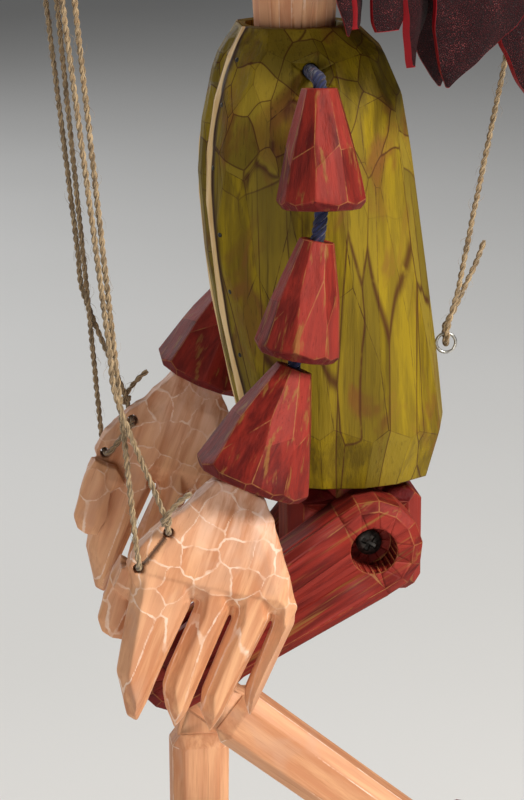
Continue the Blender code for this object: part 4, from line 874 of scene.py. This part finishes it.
def twine(line, radius, plies, pitch, hairs=0, loose=0.0):
    """A laid string along a line: plies wound round each other, with so many stray fibres in a metre."""
    bm = bmesh.new()
    ply_of = bm.verts.layers.float_vector.new("ply")
    places = followed(line)
    thick = radius / (1 + math.sin(math.pi / plies)) if plies > 2 else radius * 0.56
    for ply in range(plies):
        strand = []
        for point, one, two, run in places:
            turn = math.tau * (run / pitch + ply / plies)
            off = (radius - thick) * (1 + loose * math.sin(run * 900 + ply * 2))
            strand.append(point + (one * math.cos(turn) + two * math.sin(turn)) * off)
        tube(bm, strand, thick, STRAND_SIDES, ply_of, ply * 0.37 + dice.random())
    for _ in range(int(length_of(line) * hairs)):
        spot = dice.randrange(HAIR_ROOM, len(places) - HAIR_ROOM)
        point, one, two, _ = places[spot]
        if (line[spot + HAIR_ROOM] - point).angle(point - line[spot - HAIR_ROOM]) > 0.3:
            continue
        turn = dice.uniform(0, math.tau)
        out = one * math.cos(turn) + two * math.sin(turn)
        here = one.cross(two) * dice.choice((-1, 1))
        reach, long = dice.uniform(0.4, 1.5) * MM, dice.uniform(1.5, 4.2) * MM
        curl = out.cross(here) * dice.uniform(-0.7, 0.7) * MM
        hair = [
            point + out * (radius * 0.7 + reach * math.sin(part / HAIR_PARTS * dice.uniform(1.8, 2.6)))
            + here * long * part / HAIR_PARTS + curl * (part / HAIR_PARTS) ** 2
            for part in range(HAIR_PARTS + 1)
        ]
        tube(bm, hair, dice.uniform(0.03, 0.055) * MM, HAIR_SIDES, ply_of, dice.random(), 0.8)
    return bm


def knot(at, upward, size, turn):
    """The line of an overhand knot pulled tight."""
    side = upward.orthogonal().normalized()
    side.rotate(Matrix.Rotation(turn, 3, upward))
    other = upward.cross(side)
    line = []
    for part in range(KNOT_PARTS + 1):
        angle = math.tau * part / KNOT_PARTS
        wide = size * (0.55 + 0.30 * math.cos(3 * angle))
        line.append(
            at + (side * math.cos(2 * angle) + other * math.sin(2 * angle)) * wide
            + upward * size * 0.45 * math.sin(3 * angle)
        )
    return line


def jute_piece(name, line, body, share=1.0, hairs=0, loose=0.0):
    """A short length of jute, thinner than a string by a share."""
    shown(name, twine(line, STRING * share, 2, STRING_PITCH, hairs, loose), "jute", body)


def string(name, route, body=None):
    """A jute string along its route, pulled tight by the figure's weight."""
    line = smooth(route)
    made = shown(name, twine(line, STRING, 2, STRING_PITCH, STRING_HAIRS, STRING_LOOSE), "jute", body)
    round(length_of(line), 4)
    [tuple(point) for point in line]
    return made


def through_bar(top, *depths):
    """From the end above a bar down through it."""
    return [top + UP * STRING_END] + [top - UP * depth for depth in depths]


def through_ring(centre, across, up):
    """Through a screw eye, from above on one side to above on the other."""
    return [centre + (across * beside + up * above) * EYE_RING for beside, above in RING_ROUTE]


# Back string: from the main bar to the eye in the back, with a free tail
BACK_TOP = Vector((0, 0.099, 0))
BACK_EYE = Vector((0, 0.04006, -0.3040))
# In millimetres up along the string and to the side, and for the tail also to the back
BACK_DOWN = ((150, 0.6), (60, 0.8), (30, 1.0), (14, 1.4))
BACK_TAIL = ((8, -1.5, 0.5), (15, -1.4, 2.2), (22, -1.2, 3.8), (28, -1.1, 4.8))
lean = (BACK_TOP - BACK_EYE).normalized()
aside = Vector((1, 0, 0))
behind = lean.cross(aside)
route = through_bar(BACK_TOP, 0.006, 0.016)
route += [BACK_EYE + (lean * along + aside * beside) * MM for along, beside in BACK_DOWN]
route += through_ring(BACK_EYE, aside, UP)
route += [
    BACK_EYE + (lean * along + aside * beside + behind * back) * MM for along, beside, back in BACK_TAIL
]
back_string = string("back_string_laid", route)
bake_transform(back_string)
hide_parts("back_string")
knots = [(BACK_TOP, 0.0)]

# Head strings: from the head bar to the eyes above the ears
HEAD_STRING_REACH = 0.059
HEAD_EYES = {"left": Vector((0.03667, -0.0014, -0.13021)), "right": Vector((-0.03642, -0.0014, -0.13030))}
# In millimetres up along the string and to the front
HEAD_DOWN = ((60, 0.6), (35, 0.8), (20, 1.1), (11, 1.5))
HEAD_TAIL = ((10, -1.5), (16, -2.2))
HEAD_EYE_LEAN = 0.33
for side_name, side in SIDES.items():
    top = Vector((side * HEAD_STRING_REACH, 0, CROSSBAR_TOP))
    eye = HEAD_EYES[side_name]
    lean = (top - eye).normalized()
    route = through_bar(top, 0.005, 0.014)
    route += [eye + (lean * along + FORWARD * ahead) * MM for along, ahead in HEAD_DOWN]
    route += through_ring(eye, FORWARD, Vector((-side * HEAD_EYE_LEAN, 0, 1)).normalized())
    route += [eye + (lean * along + FORWARD * ahead) * MM for along, ahead in HEAD_TAIL]
    made = string(f"{side_name}_head_string_laid", route)
    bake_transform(made)
    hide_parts(f"{side_name}_head_string")
    knots.append((top, 1.0))

# Hand strings: one string for each hand, down from the hand bar, through the hand and up again
HAND_STRING_REACH = 0.022
HAND_BAR_AHEAD = -0.079
HOLE_SPREAD = 0.0035
# In millimetres from the wrist: outwards, back and up
MEET = ((3.2, -32.2, 26.2), (0.8, -31.2, 26.2))
LOOP = (
    (5.6, -20.6, -4.1), (5.0, -19.8, -7.6), (3.0, -19.6, -8.6), (-3.5, -19.6, -8.6), (-6.4, -20.3, -9.3),
    (-7.0, -23.3, -13.0), (-6.4, -26.3, -16.7), (-3.5, -27.0, -17.4), (3.0, -27.0, -17.4),
    (5.0, -27.1, -16.4), (5.6, -27.6, -12.8),
)
HAND_TAIL = (
    (5.9, -21.2, -5.2), (6.6, -19.6, -2.6), (7.0, -17.4, 0.0), (7.4, -15.4, 1.8), (7.6, -14.4, 2.4),
)
HAND_KNOT = (5.8, -20.5, -5.0)
HAND_KNOT_UP = (0.3, -0.4, 0.8)
# A knot's size, turn and share of the string's thickness, and how far over a bar it sits
HAND_KNOT_SIZE, HAND_KNOT_TURN, HAND_KNOT_SHARE = 0.0014, 0.4, 0.7
BAR_KNOT_SIZE, BAR_KNOT_SHARE, BAR_KNOT_RISE = 0.0023, 0.85, 0.0018
LOOP_HAIRS = 300
TAIL_SHARE, TAIL_HAIRS, TAIL_LOOSE = 0.95, 700, 0.2
for side_name, side in SIDES.items():
    wrist = PIVOTS[f"{side_name}_wrist_bend"]
    hand, swing = f"{side_name}_hand", f"{side_name}_hand_string_swing"

    def at_hand(x, y, z):
        """A place given from the wrist."""
        return wrist + Vector((side * x, y, z)) * MM

    bar = PIVOTS[swing]
    ends = ((-HOLE_SPREAD, MEET[0], LOOP[:3]), (HOLE_SPREAD, MEET[1], LOOP[:-4:-1]))
    for number, (spread, meet, last) in enumerate(ends, 1):
        top = Vector((side * HAND_STRING_REACH, HAND_BAR_AHEAD + spread, CROSSBAR_TOP))
        low = Vector((top.x, top.y, CROSSBAR_UNDER))
        route = through_bar(top, 0.005)
        route += [low.lerp(at_hand(*meet), share) for share in (0, 0.33, 0.66, 0.96, 1)]
        route += [at_hand(*spot) for spot in last]
        made = string(f"{side_name}_hand_string_{number}", route, f"{side_name}_hand_string")
        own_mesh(made)
        knots.append((top, 2.0 + number))
    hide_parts(f"{side_name}_hand_string")
    line = smooth([at_hand(*spot) for spot in LOOP])
    jute_piece(f"{hand}_loop", line, hand, hairs=LOOP_HAIRS, loose=STRING_LOOSE)
    line = smooth([at_hand(*spot) for spot in HAND_TAIL])
    jute_piece(f"{hand}_tail", line, hand, TAIL_SHARE, TAIL_HAIRS, TAIL_LOOSE)
    upward = Vector((side * HAND_KNOT_UP[0], *HAND_KNOT_UP[1:])).normalized()
    line = knot(at_hand(*HAND_KNOT), upward, HAND_KNOT_SIZE, HAND_KNOT_TURN)
    jute_piece(f"{hand}_knot", line, hand, HAND_KNOT_SHARE)

for number, (top, turn) in enumerate(knots, 1):
    line = knot(top + UP * BAR_KNOT_RISE, UP, BAR_KNOT_SIZE, turn)
    jute_piece(f"bar_knot_{number}", line, "control", BAR_KNOT_SHARE)

# Control
for bar, start, direction in (
    ("control_main_bar", (0, 0, 0), (0, 1, 0)), ("control_head_bar", (0, 0, 0), (1, 0, 0)),
    ("control_hand_bar", (0, HAND_BAR_AHEAD, 0), (1, 0, 0)),
):
    carved(bar, "control", "bar_wood", start, direction, hollow=0.0)

# Torso, neck and head
TORSO_START, NECK_START = (0, 0, -0.3), (0, 0, -0.2)
# Where the front panel runs on up to the neck: height, half width, front and sides
CHEST = (
    (-0.2310, 0.0051, -0.0208, -0.0187), (-0.2270, 0.0049, -0.0194, -0.0174),
    (-0.2232, 0.0046, -0.0171, -0.0156), (-0.2203, 0.0043, -0.0142, -0.0140),
)
CHEST_THICKNESS = 0.0008


def up_to_neck(bm):
    """Carries the front panel on over the chest, up to the neck."""
    end = max(bm.faces, key=lambda part: part.calc_center_median().z)
    ring = end.verts[:]
    bm.faces.remove(end)
    widest = max(abs(vert.co.x) for vert in ring)
    middle = sum(vert.co.y for vert in ring) / len(ring)
    shares = [vert.co.x / widest for vert in ring]
    depths = [
        0 if abs(share) < 0.75 else 1 if vert.co.y < middle else 2 for share, vert in zip(shares, ring)
    ]
    for height, half, front, beside in CHEST:
        places = (front, beside, beside + CHEST_THICKNESS)
        above = [bm.verts.new((share * half, places[depth], height)) for share, depth in zip(shares, depths)]
        band(bm, ring, above)
        ring = above
    bm.faces.new(ring)


carved(
    "torso_front_panel", "torso", "green_stain", TORSO_START, UP, rim=0.0005, hollow=0.035, grown=up_to_neck,
)
carved("neck", "head", "bare_wood", NECK_START, UP, rim=0.00012, hollow=0.035)
head = carved("head", "head", "bare_wood", NECK_START, UP, rim=0.0005, hollow=0.045)
head.data.materials[0] = FINISH["face"]
shell = carved("torso_shell", "torso", "green_stain", TORSO_START, UP, hollow=0.05)
raw_of = shell.data.attributes.new("raw", "FLOAT", "POINT")
raw_of.data.foreach_set("value", [1.0] * len(shell.data.vertices))

# Hair: leaves of leather, red along their cut sides; in millimetres of the standing figure's own frame
FIGURE_PLACE = Vector((0, 0.0072, -0.335))
HEAD_FOOT, HEAD_HEIGHT = 134, 94
HEAD_HALF_WIDTH, HEAD_HALF_DEPTH, HEAD_MIDDLE = 36, 41, -10
HAIR_CLEARANCE = 3.0
# The heights on the head where each leaf starts
LEAF_STARTS = (182.0, 166.0)
LEAF_ROWS = 9
LEAF_HALF = 0.9
LEAF_CROWN = 0.10
LEAF_WAVE = 0.7
LEAF_COLUMNS = (0.0, 0.012, 0.12, 0.25, 0.38, 0.5, 0.62, 0.75, 0.88, 0.988, 1.0)
FAR_SIDE_SHORTER = 11
# Each leaf: the lock that it stands for, the turns of its two sides on the head, and the way to its tip
# as height, one side's place across and back, and the other side's
LEAVES = (
    ("hair_lock_1", 88, 74, (
        (150, 39, -5, 39, 3), (124.6, 38, -2.3, 38, 1.6), (118, 38, -0.4, 38, 1.3),
        (115.7, 38, 0.2, 38, 0.6),
    )),
    ("", 76, 68, (
        (150, 37, 1.5, 26, 4.5), (126, 37.5, 1.6, 24, 4.0), (119, 37.5, 2.2, 30, 3.4),
        (117.6, 37.5, 2.4, 35, 2.8),
    )),
    ("hair_lock_2", 70, 54, (
        (150, 37, 5, 34, 15.5), (126, 36.5, 6, 35, 14.2), (119.5, 36.5, 6.4, 35, 13.9),
        (116.6, 36.5, 7.6, 35.2, 13),
    )),
    ("", 56, 46, (
        (150, 36, 13.5, 22, 24), (124, 36, 14.4, 25, 21.5), (114, 36, 15, 30, 18.5),
        (107.7, 36, 15.9, 34.5, 16.6),
    )),
    ("", 44, 32, (
        (150, 24, 16, 20, 28), (124, 20, 18.5, 18, 30), (112, 18, 19.6, 18, 29), (104, 18, 24, 18, 28.2),
        (100.9, 18, 26.2, 18, 26.8),
    )),
    ("hair_lock_3", 52, 26, (
        (150, 34, 20, 24, 40), (124, 34, 22, 28, 46), (119, 33.5, 22.3, 29, 44.9),
        (113, 33, 22.9, 30.5, 39.2), (108.6, 33, 23.6, 32, 33), (104.5, 33, 24.8, 33, 28.6),
        (102.3, 33, 25.6, 33, 26.3),
    )),
    ("hair_lock_4", 28, 6, (
        (150, 18, 34, 6, 46), (124, 16, 40, 8, 53), (111, 15, 43, 10, 54), (101, 14, 47.5, 12, 53.5),
        (96, 13, 50.5, 13, 51.5),
    )),
    ("hair_lock_5", 8, -8, (
        (150, 7, 37, -7, 37), (126, 6, 39, -6, 39), (117, 2, 39.5, -4, 39.5), (115, -0.5, 39.5, -1.5, 39.5),
    )),
)
BACK_LOCK = "hair_lock_5"
OTHER_SIDE = {
    "hair_lock_1": "hair_lock_9", "hair_lock_2": "hair_lock_8", "hair_lock_3": "hair_lock_7",
    "hair_lock_4": "hair_lock_6",
}


def on_head(turn, height):
    """Just outside the head, at a turn from the back and a height."""
    level = 2 * (height - HEAD_FOOT) / HEAD_HEIGHT - 1
    size = max(1 - level * level, 0) ** 0.5 * (0.94 + 0.10 * level)
    round_ = math.radians(turn)
    across, back = math.sin(round_), math.cos(round_)
    depth = ((across / HEAD_HALF_WIDTH) ** 2 + (back / HEAD_HALF_DEPTH) ** 2) ** -0.5
    out = depth * size + HAIR_CLEARANCE
    return Vector((across * out, back * out + HEAD_MIDDLE, height))


def leaf(side, first, last, rows, shorter):
    """A leather leaf from the head down to its tip."""
    ends = [[on_head(turn, height) for height in LEAF_STARTS] for turn in (first, last)]
    for height, x, y, far_x, far_y in rows:
        ends[0].append(Vector((x, y, height + shorter)))
        ends[1].append(Vector((far_x, far_y, height + shorter)))
    one, two = (smooth(end, LEAF_ROWS) for end in ends)
    bm = bmesh.new()
    raw_of = bm.verts.layers.float.new("raw")
    place_of = bm.verts.layers.float_vector.new("wood")
    offset = somewhere()
    sheets = [], []
    for index, (left, right) in enumerate(zip(one, two)):
        down = one[min(index + 1, len(one) - 1)] - one[max(index - 1, 0)]
        out = (right - left).cross(down).normalized()
        if out.dot(Vector((left.x, left.y - HEAD_MIDDLE, 0))) < 0:
            out = -out
        crown = out * (right - left).length * LEAF_CROWN
        for sheet in sheets:
            sheet.append([])
        for share in LEAF_COLUMNS:
            place = left.lerp(right, share) + crown * math.sin(math.pi * share)
            place = place + noise.noise_vector(place * 0.16 + offset * 9) * LEAF_WAVE
            for sheet, way in zip(sheets, (1, -1)):
                spot = (place + out * LEAF_HALF * way) * MM
                vert = bm.verts.new(Vector((spot.x * side, spot.y, spot.z)) + FIGURE_PLACE)
                vert[raw_of] = 1.0 if share in (0.0, 1.0) or index == len(one) - 1 else 0.0
                vert[place_of] = spot + offset
                sheet[-1].append(vert)
    for sheet in sheets:
        for upper, lower in zip(sheet, sheet[1:]):
            for column in range(len(upper) - 1):
                bm.faces.new((upper[column], upper[column + 1], lower[column + 1], lower[column]))
    band(bm, *(
        [row[0] for row in sheet] + sheet[-1][1:] + [row[-1] for row in sheet[-2::-1]] + sheet[0][-2:0:-1]
        for sheet in sheets
    ))
    return bm


for number, (node, first, last, rows) in enumerate(LEAVES, 1):
    shown(f"hair_leaf_{number}", leaf(1, first, last, rows, 0), "leather", "head", (node,) if node else ())
    if node != BACK_LOCK:
        nodes = (OTHER_SIDE[node],) if node else ()
        bm = leaf(-1, first, last, rows, FAR_SIDE_SHORTER)
        shown(f"hair_leaf_{number + 10}", bm, "leather", "head", nodes)

# Nails along both front edges: back and up, in millimetres
# Each sits where a line from the camera's place, or from its mirror image, meets the shell
NAILS = (
    (-17.1, -226.7), (-20.9, -237.8), (-23.1, -253.5), (-21.5, -270.4), (-19.0, -284.9), (-16.5, -301.2),
    (-13.4, -318.2),
)
NAIL_ACROSS = 0.020
NAIL_RADIUS = 0.00062
NAIL_FLATTENED = Matrix.Diagonal((1, 1, 0.4, 1))
bm = bmesh.new()
skin = BVHTree.FromPolygons(
    [vert.co for vert in shell.data.vertices], [part.vertices[:] for part in shell.data.polygons],
)
for side in SIDES.values():
    start = Vector((side * CAMERA_PLACE.x, CAMERA_PLACE.y, CAMERA_PLACE.z))
    for y, z in NAILS:
        place, normal, _, _ = skin.ray_cast(start, Vector((side * NAIL_ACROSS, y * MM, z * MM)) - start)
        if place is None:
            continue
        made = bmesh.ops.create_uvsphere(bm, u_segments=12, v_segments=8, radius=NAIL_RADIUS)["verts"]
        turn = normal.to_track_quat("Z", "Y").to_matrix().to_4x4()
        bmesh.ops.transform(bm, verts=made, matrix=Matrix.Translation(place) @ turn @ NAIL_FLATTENED)
shown("nails", bm, "dark_screw", "torso")

# Hands
HAND_RUN = Vector((0, -0.35, -1))
SKIN_VOXEL = 0.00032
SKIN_SMOOTHINGS = 8
# The wrist end runs up under the hem of the cuff: its heights, its places behind the front, and how far
WRIST_FROM = (-0.0068, -0.0008)
WRIST_INNER = (-0.0160, -0.0070)
WRIST_RISE = 0.0042
FINGERS_BELOW = 0.030
FINGER_CUTS_LONGER = 0.82
CUTS_APART = 0.0060
CUT_DEPTH = 0.00030
RIDGE_WIDTH = 0.00052
RIDGE_STRENGTH = 0.80
# The two string holes in millimetres from the wrist: outwards, back and up
STRING_HOLES = ((8, -19.6, -8.6), (8, -27.0, -17.4))
GROOVE_HALF = 0.00055
GROOVE_DEPTH = 0.0005
WASH_REACH = (0.0022, 0.0242)


def carved_hand(side_name, side):
    """A hand whose fingers run smoothly into the palm, with the groove between its string holes, painted in
    shade.
    """
    name = f"{side_name}_hand"
    wrist = PIVOTS[f"{side_name}_wrist_bend"]
    bm = worked(welded(name), "REMESH", mode="VOXEL", voxel_size=SKIN_VOXEL)
    for _ in range(SKIN_SMOOTHINGS):
        bmesh.ops.smooth_vert(
            bm, verts=bm.verts[:], factor=0.5, use_axis_x=True, use_axis_y=True, use_axis_z=True,
        )
    for vert in bm.verts:
        share = ramp(vert.co.z - wrist.z, *WRIST_FROM)
        inner = ramp(vert.co.y - wrist.y, *WRIST_INNER)
        vert.co.z += WRIST_RISE * inner * share * share * (3 - 2 * share)

    def stretched(point):
        """A point with the fingers drawn short, so that their cuts come out long."""
        below = max(wrist.z - FINGERS_BELOW - point.z, 0.0)
        return Vector((point.x, point.y - below * HAND_RUN.y, point.z + below * FINGER_CUTS_LONGER))

    chiselled(bm, stretched, CUTS_APART, CUT_DEPTH, RIDGE_WIDTH, RIDGE_STRENGTH)
    # Painted shade: a value that darkens the groove between the string holes
    groove_shade_of = bm.verts.layers.float.new("dark")
    wash_of = bm.verts.layers.float.new("wash")
    start, end = (wrist + Vector((side * x, y, z)) * MM for x, y, z in STRING_HOLES)
    run = end - start
    for vert in bm.verts:
        off = vert.co - start - run * ramp((vert.co - start).dot(run), 0.0, run.length_squared)
        off.x = 0
        vert[wash_of] = 1 - ramp((vert.co - wrist).length, *WASH_REACH)
        if vert.normal.x * side > 0.3 and off.length < GROOVE_HALF:
            vert[groove_shade_of] = 1 - off.length / GROOVE_HALF / 2
            vert.co.x -= side * GROOVE_DEPTH
    along_grain(bm, wrist, HAND_RUN)
    shown(name + "_carved", bm, "bare_wood", name, (name,))


# Arms: carved cones on a cord that bends at each joint
ARM_JOINTS = ("arm_lift", "elbow_bend", "cuff_bend", "wrist_bend")
SLEEVES = ("upper_sleeve", "middle_sleeve", "cuff")
CORDS = ("shoulder_cord", "upper_sleeve_cord", "middle_sleeve_cord", "cuff_cord")
# Along the cord before and after a joint, in millimetres; at the wrist it ends soon
CORD_BEFORE = (-18, -11, -5, -2.2)
CORD_AFTER = (2.2, 5, 12)
WRIST_SHARE = 1 / 12
CORD_BENDS_IN = 0.003
for side_name, side in SIDES.items():
    places = [PIVOTS[f"{side_name}_{joint}"] for joint in ARM_JOINTS]
    sleeves = [f"{side_name}_{sleeve}" for sleeve in SLEEVES]
    for name, start, end in zip(sleeves, places, places[1:]):
        carved(name, name, "red_stain", start, end - start, hollow=0.05)
    carved_hand(side_name, side)
    runs = [Vector((side, 0, 0))] + [(two - one).normalized() for one, two in zip(places, places[1:])]
    runs.append(HAND_RUN.normalized())
    for index, (cord, joint) in enumerate(zip(CORDS, places)):
        into, out = runs[index], runs[index + 1]
        reach = WRIST_SHARE if cord == CORDS[-1] else 1
        route = [joint + into * along * MM for along in CORD_BEFORE]
        route += [joint + out * along * reach * MM for along in CORD_AFTER]
        bm = twine(smooth(route), CORD, 3, CORD_PITCH, CORD_HAIRS, CORD_LOOSE)
        made = shown(f"{side_name}_{cord}_laid", bm, "blue_cord")
        start, end = joint - into * CORD_BENDS_IN, joint + out * CORD_BENDS_IN
        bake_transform(made)
        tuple(start)
        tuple(end)
        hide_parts(f"{side_name}_{cord}")

# Legs
PELVIS_START = (0, 0.015, -0.34)
SHOE_LARGEST_CUT = 0.00016
carved("pelvis", "pelvis", "red_stain", PELVIS_START, UP)
for side_name in SIDES:
    hip, knee, ankle = (PIVOTS[f"{side_name}_{joint}"] for joint in ("hip", "knee", "ankle"))
    thigh, shin, shoe = (f"{side_name}_{part}" for part in ("thigh", "shin", "shoe"))
    carved(thigh, thigh, "red_stain", hip, knee - hip)
    carved(shin, shin, "bare_wood", knee, ankle - knee)
    carved(shoe, shoe, "red_stain", ankle, (0, 1, 0), rim=0.0005, largest=SHOE_LARGEST_CUT)

# Hip screws: round heads with a cross recess
SCREW_HEAD, SCREW_SHANK = 0.00325, 0.0017
SCREW_RIM, SCREW_NECK = 0.0019, 0.0024
SCREW_RINGS = (0.10, 0.20, 0.30, 0.40, 0.50, 0.60, 0.66, 0.72, 0.80, 0.88, 0.95, 1.0)
SCREW_POINTS = 72
SCREW_TURNS = [math.tau * point / SCREW_POINTS for point in range(SCREW_POINTS)]
CROSS_TURN = 0.5
CROSS_HALF, CROSS_REACH, CROSS_DEPTH = 0.17, 0.65, 0.0012
SCREW_DOME = 0.0008


def below_top(turn, share):
    """How far a screw head's face lies below its top: a low dome with a cross cut into it."""
    thin = min(abs(math.cos(turn + CROSS_TURN)), abs(math.sin(turn + CROSS_TURN))) * share
    cross = CROSS_DEPTH if thin < CROSS_HALF and share < CROSS_REACH else 0.0
    return cross * (1.05 - share) + SCREW_DOME * share ** 3


def screw_ring(bm, middle, radius, places):
    """Points round a screw's axis, each at its own place along it."""
    return [
        bm.verts.new((x, middle.y + math.cos(turn) * radius, middle.z + math.sin(turn) * radius))
        for turn, x in zip(SCREW_TURNS, places)
    ]


for side_name, side in SIDES.items():
    name = f"{side_name}_hip_screw"
    bm = bmesh.new()
    low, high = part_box(name)
    tip, top = (low[0], high[0]) if side > 0 else (high[0], low[0])
    middle = PIVOTS[f"{side_name}_hip"]
    rings = []
    for share in SCREW_RINGS:
        places = [top - side * below_top(turn, share) for turn in SCREW_TURNS]
        rings.append(screw_ring(bm, middle, share * SCREW_HEAD, places))
    for radius, x in (
        (SCREW_HEAD, top - side * SCREW_RIM), (SCREW_SHANK, top - side * SCREW_NECK), (SCREW_SHANK, tip),
    ):
        rings.append(screw_ring(bm, middle, radius, [x] * SCREW_POINTS))
    for one, two in zip(rings, rings[1:]):
        band(bm, one, two)
    bm.faces.new(rings[0])
    bm.faces.new(rings[-1][::-1])
    shown(name + "_cut", bm, "dark_screw", "pelvis", (name,))

# Nose, eyes and screw eyes
rounded("nose", "head", "red_paint")
for side_name in SIDES:
    rounded(f"{side_name}_eye", "head", "black_bead")
    rounded(f"{side_name}_head_screw_eye", "head", "zinc")
rounded("back_screw_eye", "torso", "zinc")

# The pins stay as packed
for name, node in frame["nodes"].items():
    if name.endswith("_pin"):
        node.data.materials.clear()
        node.data.materials.append(FINISH["bare_wood"])

# Floor
FLOOR_HEIGHT = -0.5022
FLOOR_HALF = 12
bm = bmesh.new()
bmesh.ops.create_grid(bm, x_segments=4, y_segments=4, size=FLOOR_HALF)
bmesh.ops.translate(bm, verts=bm.verts[:], vec=(0, 0, FLOOR_HEIGHT))
mesh = bpy.data.meshes.new("floor")
bm.to_mesh(mesh)
bm.free()
mesh.materials.append(material("floor", even("floor", 3), 0.9))
ground = bpy.data.objects.new("floor", mesh)
scene.collection.objects.link(ground)
